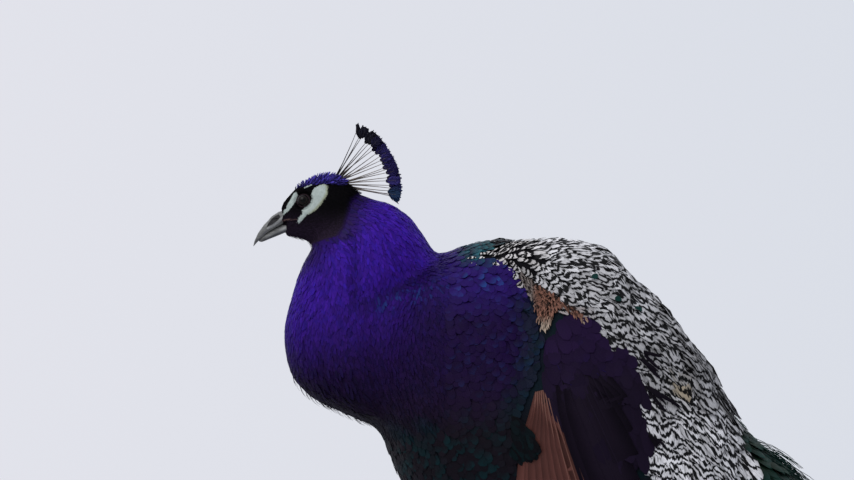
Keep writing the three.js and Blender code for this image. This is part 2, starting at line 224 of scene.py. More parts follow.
def barb_lines(tree, across_mm, along_mm, pitch, slant=1.0):
    """Fine lines like a vane's barbs, which leave the shaft at a slant: 0 to 1."""
    leant = add(tree, "Math MULTIPLY", add(tree, "Math ABSOLUTE", across_mm), slant)
    place = add(tree, "Math SUBTRACT", along_mm, leant)
    wave = add(tree, "Math SINE", add(tree, "Math MULTIPLY", place, 2 * math.pi / pitch))
    return add(tree, "Math MULTIPLY_ADD", wave, 0.5, 0.5)


def plumage_material(name, roughness, pitch, depth, root=0.55, rim=0.0, gloss=0.25, metallic=0.0, vary=0.5):
    """Contour feathers: the tint that each feather carries, darker at the root, lined by its barbs.

    Keratin barbs over melanin, so satin, with the colour a structural one; rim is how far the edge's own
    colour reaches in from the tip and sides, and root the share of the tint left at a feather's root by its
    painted shade.
    """
    material, tree = new_material(name, Roughness=roughness, Metallic=metallic, Specular_IOR_Level=gloss)
    across, along, chance, across_mm, along_mm = vane_sockets(tree)
    tint = add(tree, "Attribute", settings=TINT, out="Color")
    if rim:
        side = add(tree, "Math POWER", add(tree, "Math ABSOLUTE", across), 3.0)
        near = add(tree, "Math MAXIMUM", add(tree, "Math MULTIPLY", side, 0.6), along)
        share = add(tree, "MapRange", near, 1 - rim, 1.0, 0.0, 1.0)
        skipped = [None] * 5
        edge = add(tree, "Attribute", settings=RIM, out="Color")
        tint = add(tree, "Mix", share, *skipped, tint, edge, settings={"data_type": "RGBA"}, out=2)
    lines = barb_lines(tree, across_mm, along_mm, pitch)
    shade = add(tree, "Math MULTIPLY_ADD", lines, depth, 1 - depth)
    # painted shade: each feather darkens towards its root, where the feathers lying over it would shade it
    rise = add(tree, "MapRange", along, 0.1, 0.8, root, 1.0)
    spread = add(tree, "Math MULTIPLY_ADD", chance, vary, 1 - vary / 2)
    factor = add(tree, "Math MULTIPLY", add(tree, "Math MULTIPLY", shade, rise), spread)
    wire(tree, add(tree, "VectorMath SCALE", tint, Scale=factor), lines)
    return material


def barred_material():
    """Scapulars: cream feathers crossed by wavy black bars, as the melanin was laid down in pulses.

    The bars lie level on the wing, steeper at its front, and every feather breaks them up in its own way.
    """
    arch_middle, arch_front = to_frame([347, 0, 0])[0], to_frame([312, 0, 0])[0]
    material, tree = new_material("barred_feathers", Roughness=0.65, Specular_IOR_Level=0.15)
    across, along, chance, across_mm, along_mm = vane_sockets(tree)
    place = add(tree, "TexCoord", out="Object")
    x, y, z = add(tree, "SeparateXYZ", place, out=ALL)
    off = add(tree, "Math SUBTRACT", x, arch_middle)
    arch = add(tree, "Math MULTIPLY", add(tree, "Math MULTIPLY", off, off), 3.0)
    ahead = add(tree, "Math MAXIMUM", add(tree, "Math SUBTRACT", arch_front, x), 0.0)
    steep = add(tree, "Math MULTIPLY", add(tree, "Math MULTIPLY", ahead, ahead), 9.0)
    down = add(tree, "Math ADD", add(tree, "Math ADD", z, arch), steep)
    outward = add(tree, "Math ABSOLUTE", across_mm)
    ripple = add(tree, "Math SINE", add(tree, "Math MULTIPLY", outward, 1.5))
    ripple = add(tree, "Math MULTIPLY", ripple, 0.0007)
    zigzag = add(tree, "Math MULTIPLY_ADD", outward, -0.0004, ripple)
    jitter = add(tree, "Math MULTIPLY_ADD", chance, 0.006, zigzag)
    slow = add(tree, "Math MULTIPLY", along_mm, 0.16)
    own = add(tree, "CombineXYZ", across_mm, slow, add(tree, "Math MULTIPLY", chance, 60.0))
    sums = [down, jitter]
    wobbles = ((place, 60.0, 1.0, 0.02), (own, 0.75, 2.0, 0.0075))
    for index, (where, scale, detail, amount) in enumerate(wobbles):
        noise = add(tree, "TexNoise", Vector=where, Scale=scale, Detail=detail)
        centred = add(tree, "Math SUBTRACT", noise, 0.5)
        sums[index] = add(tree, "Math MULTIPLY_ADD", centred, amount, sums[index])
    turns = 2 * math.pi / (BAR_PITCH * MM)
    bars = add(tree, "Math SINE", add(tree, "Math MULTIPLY", add(tree, "Math ADD", *sums), turns))
    gaps = add(tree, "TexNoise", Vector=own, Scale=0.3, Detail=1.0)
    broken = add(tree, "Math MULTIPLY_ADD", add(tree, "Math SUBTRACT", gaps, 0.5), 1.5, bars)
    share = add(tree, "Math MULTIPLY_ADD", broken, 0.5, 0.5)
    pale = add(tree, "ValToRGB", share, stops=[
        (0.3, "#131315"), (0.4, "#1d1d1f"), (0.47, "#a09fa1"), (0.53, "#d2d1d3"), (0.8, "#eeedee")])
    toned = add(tree, "VectorMath MULTIPLY", pale, add(tree, "Attribute", settings=TINT, out="Color"))
    lines = barb_lines(tree, across_mm, along_mm, BARB_PITCH)
    # painted shade: each feather greys towards its root, where the feathers over it would shade it
    rise = add(tree, "MapRange", along, 0.05, 0.6, 0.55, 1.0)
    shade = add(tree, "Math MULTIPLY", add(tree, "Math MULTIPLY_ADD", lines, 0.25, 0.75), rise)
    streaks = add(tree, "TexNoise", Vector=own, Scale=1.6, Detail=2.0)
    shade = add(tree, "Math MULTIPLY", shade, add(tree, "Math MULTIPLY_ADD", streaks, 1.1, 0.45))
    # painted shade: a dark line along each feather's sides, as in the shaded gaps between feathers
    edge = add(tree, "Math POWER", add(tree, "Math ABSOLUTE", across), 6.0)
    edge = add(tree, "Math ADD", add(tree, "Math MULTIPLY", edge, -0.45), 1.0)
    darker = add(tree, "Math MULTIPLY", shade, edge)
    wire(tree, add(tree, "VectorMath SCALE", toned, Scale=darker), lines, 0.3)
    return material


def eyespot_material():
    """The train's eyespots: rings of structural colour round a dark heart, as thin as soap films."""
    material, tree = new_material("eyespot_feathers", Roughness=0.32, Specular_IOR_Level=0.4, Metallic=0.25)
    across, along, chance, across_mm, along_mm = vane_sockets(tree)
    up = add(tree, "Math MULTIPLY", add(tree, "Math SUBTRACT", along, 0.5), 2.0)
    squares = [add(tree, "Math MULTIPLY", way, way) for way in (across, up)]
    away = add(tree, "Math SQRT", add(tree, "Math ADD", *squares))
    rings = add(tree, "ValToRGB", away, stops=[
        (0.0, "#120a3a"), (0.2, "#1a1060"), (0.27, "#0e5f9a"), (0.42, "#12808c"), (0.47, "#7c3f14"),
        (0.64, "#7d4c1f"), (0.7, "#8a7028"), (0.78, "#3f5f22"), (0.9, "#54501f"), (1.0, "#26381a")])
    lines = barb_lines(tree, across_mm, along_mm, BARB_PITCH)
    shade = add(tree, "Math MULTIPLY_ADD", lines, 0.35, 0.65)
    wire(tree, add(tree, "VectorMath SCALE", rings, Scale=shade), lines, 0.4)
    return material


def horn_material(name, dark, light, roughness):
    """Horn: layered keratin, satin and faintly streaked, paler where it is thin."""
    material, tree = new_material(name, Roughness=roughness, Specular_IOR_Level=0.3)
    stretched = add(tree, "Mapping", Vector=add(tree, "TexCoord", out="Object"), Scale=(0.25, 1.0, 1.0))
    streak = add(tree, "TexNoise", Vector=stretched, Scale=480.0, Detail=5.0)
    swing = add(tree, "Math SUBTRACT", streak, 0.5)
    tint = add(tree, "Attribute", settings=TINT, out="Fac")
    factor = add(tree, "Math MULTIPLY_ADD", swing, 0.5, tint)
    wire(tree, add(tree, "ValToRGB", factor, stops=[(0.05, dark), (0.9, light)]), streak, 0.25, 0.0003)
    return material


def eye_material():
    """The eye: a dark brown iris round a black pupil, under a wet cornea."""
    material, tree = new_material(
        "wet_eye", Roughness=0.12, Specular_IOR_Level=0.12, Coat_Weight=0.12, Coat_Roughness=0.02
    )
    wire(tree, add(tree, "ValToRGB", add(tree, "Attribute", settings=TINT, out="Fac"), stops=[
        (0.0, "#020203"), (0.46, "#030304"), (0.52, "#160d0b"), (0.7, "#1a110f"), (0.78, "#060405")]))
    return material


def skin_material():
    """Bird skin: thin and slightly waxy, pale and pebbled on the face, darkened under the coat as painted
    shade.
    """
    material, tree = new_material("bird_skin", Roughness=0.7, Specular_IOR_Level=0.06)
    place = add(tree, "TexCoord", out="Object")
    pebble = add(tree, "TexVoronoi", Vector=place, Scale=900.0)
    mottle = add(tree, "TexNoise", Vector=place, Scale=240.0, Detail=3.0)
    dull = add(tree, "Math MULTIPLY_ADD", mottle, 0.5, 0.72)
    tint = add(tree, "Attribute", settings=TINT, out="Color")
    wire(tree, add(tree, "VectorMath SCALE", tint, Scale=dull), pebble, 0.5, 0.0005)
    return material


def scale_material():
    """Leg scales: overlapping plates of keratin, satin grey-brown, darker along the joints between them."""
    material, tree = new_material("leg_scales", Roughness=0.5)
    place = add(tree, "TexCoord", out="Object")
    wide = add(tree, "Mapping", Vector=place, Scale=(1.0, 1.0, 1.5))
    plates = add(tree, "TexVoronoi", Vector=wide, Scale=210.0, settings={"feature": "DISTANCE_TO_EDGE"})
    mottle = add(tree, "TexNoise", Vector=place, Scale=150.0, Detail=4.0)
    horn = add(tree, "ValToRGB", mottle, stops=[(0.3, "#5a5248"), (0.7, "#8a8074")])
    joints = add(tree, "ValToRGB", plates, stops=[(0.02, "#8f877c"), (0.12, "#ffffff")])
    wire(tree, add(tree, "VectorMath MULTIPLY", horn, joints), plates, 0.6, 0.0006)
    return material


velvet = plumage_material("velvet_feathers", 0.8, 1.2, 0.3, gloss=0.03)
blue_plumage = plumage_material("blue_feathers", 0.5, 1.2, 0.3, gloss=0.05, root=0.9, vary=0.25)
scale_plumage = plumage_material("scale_feathers", 0.5, 1.5, 0.3, rim=0.45, gloss=0.065, root=0.8, vary=0.35)
dark_plumage = plumage_material("dark_feathers", 0.6, 1.6, 0.3, rim=0.3, gloss=0.06, root=0.75, vary=0.4)
chestnut = plumage_material("chestnut_feathers", 0.5, 1.4, 0.35, rim=0.2, gloss=0.2, vary=0.3)
down = plumage_material("thigh_down", 0.8, 1.0, 0.35, gloss=0.1)
bronze = plumage_material("train_barbs", 0.35, 2.0, 0.2, gloss=0.4, metallic=0.3, root=0.8)
bare = skin_material()

# ---- camera, light and floor -------------------------------------------------------------------------------
FRAME_WIDTH_MM = 854  # one pixel of the frame is one millimetre at the bird's middle plane
CAMERA = {"away": 4000, "height": 300, "aim_x": 174, "aim_z": 605, "sensor": 36}
LAMP = {"place": [-900, -1700, 2300], "aim": [250, 0, 450], "size": 2.2, "energy": 32}


def facing(place, aim):
    """Where a camera or lamp stands and how it turns to look at its aim."""
    place, aim = Vector(to_frame(place)), Vector(to_frame(aim))
    return {"location": place, "rotation": (aim - place).to_track_quat("-Z", "Y").to_euler()}


def set_camera():
    aim = [CAMERA["aim_x"], 0, CAMERA["aim_z"]]
    place = [CAMERA["aim_x"], -CAMERA["away"], CAMERA["height"]]
    bpy.ops.object.camera_add(**facing(place, aim))
    camera = bpy.context.object
    camera.data.sensor_width = CAMERA["sensor"]
    away = (Vector(to_frame(aim)) - Vector(to_frame(place))).length
    camera.data.lens = CAMERA["sensor"] * away / (FRAME_WIDTH_MM * MM)
    camera.data.clip_end = 100
    bpy.context.scene.camera = camera


def set_light():
    """A pale sky, brightest behind and over the bird, with one wide soft lamp above its left side."""
    bpy.context.scene.view_settings.view_transform = "Standard"
    world = bpy.data.worlds.new("pale_sky")
    bpy.context.scene.world = world
    world.use_nodes = True
    tree = world.node_tree
    sky = tree.nodes["Background"].inputs
    x, y, z = add(tree, "SeparateXYZ", add(tree, "TexCoord", out="Generated"), out=ALL)
    across = add(tree, "MapRange", x, -0.12, 0.12, 0.0, 1.0)
    tree.links.new(add(tree, "ValToRGB", across, stops=[(0.0, "#e2e3eb"), (1.0, "#dadee7")]), sky["Color"])
    behind = add(tree, "MapRange", y, -0.5, 0.8, 0.55, 1.0)
    over = add(tree, "MapRange", z, 0.25, 1.0, 1.0, 1.25)
    tree.links.new(add(tree, "Math MULTIPLY", behind, over), sky["Strength"])
    bpy.ops.object.light_add(type="AREA", **facing(LAMP["place"], LAMP["aim"]))
    bpy.context.object.data.size = LAMP["size"]
    bpy.context.object.data.energy = LAMP["energy"]


def lay_floor():
    bpy.ops.mesh.primitive_circle_add(vertices=96, radius=9, fill_type="NGON", location=(0, 0, -0.0008))
    floor = bpy.context.object
    floor.name = "floor"
    material, tree = new_material("pale_floor", Roughness=0.8)
    cloud = add(tree, "TexNoise", Vector=add(tree, "TexCoord", out="Object"), Scale=1.6, Detail=4.0)
    wire(tree, add(tree, "ValToRGB", cloud, stops=[(0.3, "#b4b5b9"), (0.7, "#bcbdc0")]))
    floor.data.materials.append(material)


# ---- the lie of the plumage --------------------------------------------------------------------------------
# Where a feather grows on the side of the bird, as x and z, and which way it points, as x and z.
HEAD_LIE = [
    (26, 628, 0.9, 0.55), (36, 650, 0.75, 0.65), (55, 666, 0.95, 0.2), (75, 671, 1, 0), (95, 664, 0.8, -0.6),
    (42, 610, 0.95, -0.2), (60, 604, 0.9, -0.35), (50, 625, 1, -0.1), (75, 625, 0.9, -0.45),
    (90, 640, 0.75, -0.65), (60, 650, 1, 0.05), (90, 612, 0.7, -0.7),
]
NECK_LIE = [
    (125, 642, 0.65, -0.75), (160, 620, 0.5, -0.85), (182, 590, 0.35, -0.93), (110, 600, 0.25, -0.97),
    (62, 590, 0, -1), (45, 560, -0.2, -0.98), (34, 520, -0.05, -1), (34, 485, 0.2, -0.98),
    (50, 455, 0.6, -0.8),
    (85, 432, 0.8, -0.6), (120, 560, 0.1, -1), (90, 520, 0.1, -1), (100, 470, 0.4, -0.92),
    (150, 520, 0.2, -0.98), (130, 425, 0.7, -0.7),
]
BODY_LIE = [
    (190, 590, 0.85, -0.5), (230, 602, 1, -0.1), (280, 595, 0.93, -0.35), (340, 550, 0.75, -0.66),
    (400, 480, 0.65, -0.76), (470, 390, 0.62, -0.78), (200, 530, 0.5, -0.86), (240, 490, 0.4, -0.92),
    (170, 470, 0.45, -0.9), (150, 420, 0.5, -0.86), (210, 400, 0.5, -0.86), (180, 350, 0.6, -0.8),
    (230, 300, 0.8, -0.6), (300, 270, 1, -0.05), (400, 270, 1, 0.1), (460, 300, 0.95, 0),
]
EVERY_LIE = HEAD_LIE + NECK_LIE + BODY_LIE
WING_LIE = [
    (240, 580, 0.85, -0.5), (270, 590, 0.92, -0.38), (310, 590, 0.9, -0.42), (300, 550, 0.8, -0.6),
    (345, 575, 0.78, -0.62), (350, 520, 0.68, -0.73), (390, 520, 0.62, -0.78), (395, 460, 0.42, -0.9),
    (430, 450, 0.5, -0.86), (420, 380, 0.32, -0.95), (470, 400, 0.56, -0.83), (476, 440, 0.4, -0.92),
    (460, 320, 0.5, -0.87), (520, 340, 0.6, -0.8), (288, 500, 0.3, -0.95), (330, 460, 0.4, -0.92),
    (300, 430, 0.43, -0.9), (320, 380, 0.43, -0.9), (355, 400, 0.36, -0.93), (384, 455, 0.14, -0.99),
    (392, 405, 0.12, -0.99), (402, 350, 0.12, -0.99),
]
BUFF_LIE = [(270, 550, 0.75, -0.65), (292, 515, 0.25, -0.97)]
LEG_LIE = [(250, 320, 0.25, -0.97), (262, 250, 0.25, -0.97), (290, 200, 0.3, -0.95), (310, 165, 0.3, -0.95)]
RUMP_LIE = [(330, 555, 0.75, -0.66), (400, 480, 0.65, -0.76), (480, 385, 0.65, -0.76), (560, 320, 0.72, -0.7),
            (640, 240, 0.78, -0.62)]


def lie_at(points, guides):
    """The direction of the coat at points, smoothly between the nearest guides."""
    guides = np.array(guides, float)
    gap = ((points[:, None, [0, 2]] - guides[None, :, :2]) ** 2).sum(-1)
    flat = (1 / (gap + 20) ** 2) @ unit(guides[:, 2:])
    return unit(np.stack([flat[:, 0], np.zeros(len(points)), flat[:, 1]], 1))


def seat(directions, normals):
    """Directions laid into the surface that the normals stand on."""
    return unit(directions - normals * (directions * normals).sum(-1, keepdims=True))


# ---- surfaces that feathers grow from ----------------------------------------------------------------------
NEIGHBOURS = [(i, j, k) for i in (-1, 0, 1) for j in (-1, 0, 1) for k in (-1, 0, 1)]


class Surface:
    """A mesh piece as arrays: its triangles, their normals and its unwrap, and a search tree."""

    def __init__(self, piece):
        mesh = piece.data
        mesh.calc_loop_triangles()
        loops = read(mesh.loop_triangles, "loops", kind=int)
        self.points = coordinates(mesh)
        self.normals = vertex_normals(mesh)
        self.corners = read(mesh.loop_triangles, "vertices", kind=int)
        self.uv = read(mesh.uv_layers["OFBake"].data, "uv", 2)[loops]
        a, b, c = (self.points[self.corners[:, i]] for i in range(3))
        self.areas = np.linalg.norm(np.cross(b - a, c - a), axis=1) / 2
        self.centres = (a + b + c) / 3
        self.tree = BVHTree.FromPolygons(self.points.tolist(), self.corners.tolist())

    def scatter(self, spacing, wanted, rng):
        """Places about spacing apart on the wanted faces: points, normals and unwrap."""
        chosen = np.flatnonzero(wanted)
        areas = self.areas[chosen]
        count = int(areas.sum() / spacing**2 * 3.2)
        faces = chosen[rng.choice(len(chosen), count, p=areas / areas.sum())]
        weights = rng.dirichlet((1, 1, 1), count)[..., None]
        points = (self.points[self.corners[faces]] * weights).sum(1)
        cells = map(tuple, np.floor(points / spacing).astype(int).tolist())
        taken, kept = {}, []
        for index, (cell, point) in enumerate(zip(cells, points.tolist())):
            near = (taken.get((cell[0] + i, cell[1] + j, cell[2] + k), ()) for i, j, k in NEIGHBOURS)
            others = (other for some in near for other in some)
            if all(sum((p - q) ** 2 for p, q in zip(point, other)) >= spacing * spacing for other in others):
                taken.setdefault(cell, []).append(point)
                kept.append(index)
        faces, weights = faces[kept], weights[kept]
        normals = unit((self.normals[self.corners[faces]] * weights).sum(1))
        return points[kept], normals, (self.uv[faces] * weights).sum(1)

    def nearest(self, points):
        """The nearest places on the surface, the normals there and the unwrap at their faces' middles."""
        found = [self.tree.find_nearest(point) for point in points.tolist()]
        places, normals = (np.array([one[i] for one in found]) for i in (0, 1))
        return places, normals, self.uv[[one[2] for one in found]].mean(1)


def only(places, chosen):
    return tuple(values[chosen] for values in places)


def joined_copy(name, nodes, grow, voxel=None, smoothing=6):
    """One mesh piece from copies of CAD nodes, each grown a little so that neighbours overlap.

    With a voxel size, in millimetres, the copies are fused into one even skin.
    """
    copies = []
    for node in nodes:
        copy = bpy.data.objects.new(name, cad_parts[node].data.copy())
        bpy.context.scene.collection.objects.link(copy)
        edit(copy, (bpy.ops.mesh.remove_doubles, {"threshold": 1e-6}),
             (bpy.ops.transform.shrink_fatten, {"value": grow * MM}))
        copies.append(copy)
    select(*copies)
    if len(copies) > 1:
        bpy.ops.object.join()
    copies[0].name = name
    if voxel:
        apply_modifier(copies[0], "REMESH", mode="VOXEL", voxel_size=voxel * MM)
        apply_modifier(copies[0], "SMOOTH", factor=0.5, iterations=smoothing)
    return copies[0]


def unwrap(piece):
    while piece.data.uv_layers:
        piece.data.uv_layers.remove(piece.data.uv_layers[0])
    piece.data.uv_layers.new(name="OFBake")
    edit(piece, (bpy.ops.uv.smart_project, {"angle_limit": math.radians(70), "island_margin": 0.002}))


def paint(piece, colours):
    """Stores linear colours, one for each vertex or for all, as the attribute tint."""
    colours = np.broadcast_to(colours, (len(piece.data.vertices), 3))
    layer = piece.data.attributes.new("tint", "FLOAT_COLOR", "POINT")
    layer.data.foreach_set("color", np.insert(colours, 3, 1, axis=1).ravel())


# ---- feathers ----------------------------------------------------------------------------------------------
def bar(stations, outline):
    """A three-sided closed bar one unit long, cut across at the stations: what every feather is bent from.

    It holds its faces and, for each vertex, its station, its side (-1, 0 or 1) and its height (0 or 1);
    outline gives the share of the half width at each station.
    """
    select()
    bpy.ops.mesh.primitive_cylinder_add(vertices=3, radius=1, depth=1, location=(0, 0, 0.5))
    blank = bpy.context.object
    bpy.ops.object.transform_apply()
    steps = []
    for place in stations[1:-1]:
        steps.append((bpy.ops.mesh.select_all, {"action": "SELECT"}))
        steps.append((bpy.ops.mesh.bisect, {"plane_co": (0, 0, place), "plane_no": (0, 0, 1)}))
    edit(blank, *steps)
    x, y, z = np.array([vertex.co for vertex in blank.data.vertices]).T
    made = {
        "stations": np.array(stations), "outline": np.array(outline),
        "faces": [list(polygon.vertices) for polygon in blank.data.polygons],
        "station": np.abs(z[:, None] - np.array(stations)[None]).argmin(1),
        "side": np.where(np.abs(x) < 0.2, 0, np.sign(x)), "height": (y > 0.5).astype(float),
    }
    bpy.data.objects.remove(blank)
    return made


LEAF = bar([0, 0.3, 0.6, 0.85, 1], [0.4, 0.9, 1.0, 0.7, 0.08])
SCALE = bar([0, 0.35, 0.68, 0.9, 1], [0.35, 0.85, 1.0, 0.76, 0.12])
STRAND = bar([0, 0.35, 0.7, 1], [0.8, 1.0, 0.7, 0.08])
QUILL = bar([0, 0.1, 0.2, 0.3, 0.4, 0.5, 0.6, 0.7, 0.8, 0.88, 0.94, 0.98, 1],
            [0.1, 0.4, 0.75, 0.9, 0.96, 1, 1, 1, 0.95, 0.84, 0.64, 0.36, 0.05])
EYESPOT = bar([0, 0.06, 0.18, 0.32, 0.46, 0.6, 0.74, 0.86, 0.95, 1],
              [0.25, 0.5, 0.76, 0.92, 1, 0.98, 0.88, 0.68, 0.4, 0.08])


def feathered(name, finish, blank, lines, normals, widths, thickness, tints, rng, uv=None, rims=None, cup=0.0,
              soft=0.0):
    """One finished piece of many feathers bent from a blank.

    lines are (feathers, stations, 3) in millimetres; normals, the half widths, thickness and tints are for
    each feather or for all. Without uv, at the roots, each feather has a cell of its own. rims are the
    colours of the feathers' edges, cup bends the sides down, and soft is how far the shading follows the
    coat as a whole rather than each feather. finish is what finish_piece takes.
    """
    count, stations, _ = lines.shape
    normals = np.broadcast_to(normals, lines.shape)
    along = unit(np.gradient(lines, axis=1))
    side = unit(np.cross(normals, along))
    up = np.cross(along, side)
    at, across, height = blank["station"], blank["side"], blank["height"]
    per = len(at)
    wide = np.broadcast_to(widths, (count, stations))[:, at]
    lift = np.broadcast_to(thickness, (count, stations))[:, at] * (height - 0.5) - cup * wide * np.abs(across)
    points = lines[:, at] + side[:, at] * (wide * across)[..., None] + up[:, at] * lift[..., None]
    z = points[..., 2]
    above_floor = 0.3 + 0.7 * np.exp((np.minimum(z, 1) - 1) / 4)
    points[..., 2] = np.where(z < 1, above_floor, z)
    steps = np.linalg.norm(np.diff(lines, axis=1), axis=2)
    length = np.insert(np.cumsum(steps, axis=1), 0, 0, axis=1)[:, at]
    share = blank["stations"][at]
    vane = np.broadcast_arrays(across, share, rng.random(count)[:, None])
    span = np.broadcast_arrays(wide * across, length, 0.0)
    faces = blank["faces"]
    loops = (np.concatenate(faces)[None] + per * np.arange(count)[:, None]).ravel()
    totals = np.tile([len(face) for face in faces], count)
    mesh = bpy.data.meshes.new(name)
    mesh.vertices.add(count * per)
    mesh.vertices.foreach_set("co", to_frame(points.reshape(-1, 3)).ravel())
    mesh.loops.add(len(loops))
    mesh.loops.foreach_set("vertex_index", loops)
    mesh.polygons.add(len(totals))
    mesh.polygons.foreach_set("loop_start", np.insert(np.cumsum(totals)[:-1], 0, 0))
    mesh.polygons.foreach_set("loop_total", totals)
    mesh.update(calc_edges=True)
    for key, values in (("vane", vane), ("span", span)):
        layer = mesh.attributes.new(key, "FLOAT_VECTOR", "POINT")
        layer.data.foreach_set("vector", np.stack(values, -1).ravel())
    for key, values in (("tint", tints), ("rim", tints if rims is None else rims)):
        layer = mesh.attributes.new(key, "FLOAT_COLOR", "POINT")
        each = np.repeat(np.broadcast_to(values, (count, 3)), per, axis=0)
        layer.data.foreach_set("color", np.insert(each, 3, 1, axis=1).ravel())
    patch = TUFT_PATCH
    if uv is None:
        cells = math.ceil(math.sqrt(count))
        order = np.arange(count)
        uv = (np.stack([order % cells, order // cells], 1) + 0.5) / cells
        patch = 0.46 / cells
    own = uv[:, None] + patch * np.stack([across, 2 * share - 1], -1)
    layer = mesh.uv_layers.new(name="OFBake")
    layer.data.foreach_set("uv", np.clip(own.reshape(-1, 2)[loops], 0, 1).ravel())
    if soft:
        whole = unit(0.65 * normals + 0.35 * up)[:, at].reshape(-1, 3)[loops]
        signs = [-1.0 if height[face].max() == 0 else 1.0 for face in faces]
        under = np.repeat(signs, [len(face) for face in faces])
        whole = whole * np.tile(under, count)[:, None]
        mesh.normals_split_custom_set(unit(blend(vertex_normals(mesh)[loops], whole, soft)))
    piece = bpy.data.objects.new(name, mesh)
    bpy.context.scene.collection.objects.link(piece)
    finish_piece(piece, *finish)


def curves(blank, first, second, third):
    """Quadratic curves through a blank's stations: (feathers, stations, 3)."""
    t = blank["stations"][None, :, None]
    return (1 - t) ** 2 * first[:, None] + 2 * t * (1 - t) * second[:, None] + t**2 * third[:, None]


def coat(name, finish, surface, places, lie, blank, length, width, thickness, tints, rng,
         sink=0.8, lift=1.5, rise=0.5, spread=0.12, curl=0.0, free=0.0, rims=None, soft=0.8):
    """Feathers that follow a surface: each root is sunk in it, and its tip lies at lift above it.

    lie is a table of guides or a direction for each feather, spread how far feathers turn from it, rise
    how high their middles stand, and free how far they run straight on where the surface bends away.
    """
    points, normals, uv = places
    count = len(points)

    def varied(value, by, limit):
        return np.broadcast_to(value, count) * (1 + by * rng.standard_normal(count).clip(-limit, limit))

    length = varied(length, 0.12, 1.8)
    width = varied(width, 0.08, 1.8)
    flow = seat(lie if isinstance(lie, np.ndarray) else lie_at(points, lie), normals)
    flow = seat(flow + np.cross(normals, flow) * (spread * rng.standard_normal(count))[:, None], normals)
    reach = points + flow * length[:, None]
    under, under_normals, _ = surface.nearest(reach)
    straight = np.where((under_normals * normals).sum(1) > 0.2, np.broadcast_to(free, count), 1.0)
    above = unit(blend(under_normals, normals, straight))
    height = varied(lift, 0.25, 1.5)
    tip = blend(under, reach, straight) + above * height[:, None]
    root = points - normals * np.reshape(sink, (-1, 1))
    half, half_normals, _ = surface.nearest(points + flow * (length / 2)[:, None])
    seated = np.where((half_normals * normals).sum(1) > 0.2, 1 - np.broadcast_to(free, count), 0.0)
    half = blend((root + tip) / 2, half + normals * (rise * height)[:, None], seated)
    middle = 2 * half - (root + tip) / 2 + normals * (0.1 * length * curl)[:, None]
    lines = curves(blank, root, middle, tip)
    if curl:
        bend = (blank["stations"] ** 3)[None, :, None] * (curl * length)[:, None, None]
        lines = lines + bend * normals[:, None]
    widths = width[:, None] / 2 * blank["outline"]
    feathered(name, finish, blank, lines, unit(normals + above)[:, None], widths, thickness, tints, rng,
              uv=uv, rims=rims, soft=soft)


# ---- markings ----------------------------------------------------------------------------------------------
# Closed outlines and open lines on the side of the bird, as (x, z).
FACE_PATCH = [(73.2, 660.2), (75, 657.2), (75, 650.1), (72.3, 645), (68.3, 639), (63.9, 633.9), (59.2, 630.6),
              (53.9, 628.6), (50.6, 624.6), (46.6, 620.6), (44.4, 621.9), (46.2, 626.3), (49.9, 629.8),
              (49.3, 633.4), (53.3, 637.4), (57.7, 640.8), (59.5, 645), (58.4, 649.6), (61.2, 655.2),
              (66.8, 658.8)]
LORE_PATCH = [(43, 652.4), (45.2, 649.4), (42.3, 641.7), (39, 637.2), (35.8, 633.4), (29.8, 628.6),
              (28.8, 630.4),
              (32.9, 636.6), (37.6, 645), (40.8, 650.8)]
GAPE_LINE = [(24, 621), (34, 624.5), (44, 624)]
BROW_LINE = [(52, 656.6), (55.5, 658.1), (58.5, 659)]
CROWN_LINE = [(24, 636), (31, 646), (41, 655), (50, 658), (60, 659.5), (74, 661), (84, 660), (91, 661),
              (93, 690)]
BUFF_PATCH = [(268, 562), (285, 552), (300, 544), (301, 534), (294, 522), (291, 512), (286, 520), (283, 530),
              (276, 545)]
BUFF_STRIP = [(266, 566), (280, 555), (298, 541), (316, 530), (326, 522)]
# The line along which the breast's feathers turn to scales.
SCALE_ROW = [(127, 545), (190, 556), (257, 574)]
# The fold where the drawn-in neck meets the breast: an upright crease, then a broad one below it.
NECK_CREASE = [(98, 606), (99, 585), (101, 565), (104, 540)]
NECK_FOLD = [(104, 543), (127, 551), (160, 567), (184, 579)]
# Where the barred coat ends below and the dark coverts begin.
BARRED_EDGE = [(206, 577), (218, 579), (230, 578), (243, 574), (254, 564), (265, 553), (276, 544), (290, 536),
               (321, 527), (330, 517), (346, 503), (366, 491), (377, 475), (382, 441), (387, 400), (392, 367),
               (397, 320), (401, 300)]
# The dark field round the nostril and the pale line under it.
NOSTRIL_FIELD = [(26, 630.4), (27.5, 627.4), (24, 623.4), (19, 620), (14, 617.4), (15, 620.6), (18, 624.8),
                 (21.5, 628.2)]
CERE_LINE = [(31, 628.4), (26, 623), (21, 619.2), (15, 616.2)]
# Upright edges, as (z, x): where the black head, the blue neck and the body's own coat end at the rear, and
# where the coverts begin.
HEAD_EDGE = [(602, 62), (607, 84), (616, 90), (637, 96), (646, 98), (655, 105), (664, 101)]
BLUE_EDGE = [(390, 200), (420, 262), (445, 280), (511, 285), (537, 276), (560, 267), (573, 259), (600, 232)]
SIDE_EDGE = [(300, 258), (382, 257), (396, 260), (408, 272), (420, 270), (430, 260), (441, 259), (454, 270),
             (474, 280), (511, 286), (537, 277), (559, 266), (572, 250), (580, 228), (583, 217), (592, 232),
             (605, 250), (615, 258)]
COVERT_FRONT = [(300, 345), (366, 322), (444, 286), (500, 292), (540, 288)]

BLUE = {"bright": "#4b20b2", "deep": "#2a0e56", "breast": "#1f0a3f", "side": "#2e166c", "low": "#241630",
        "teal": "#184759", "green": "#0a2e33", "cap": "#4a3fa4", "cap_front": "#231a5c"}
BLACK = {"velvet": "#0c0a0e", "throat": "#3b2e42", "belly": "#1b161f"}
TRAIN_DARK = "#10251f"


def along_line(value, line):
    """A line's second coordinate where its first has this value."""
    return np.interp(value, *np.transpose(line))


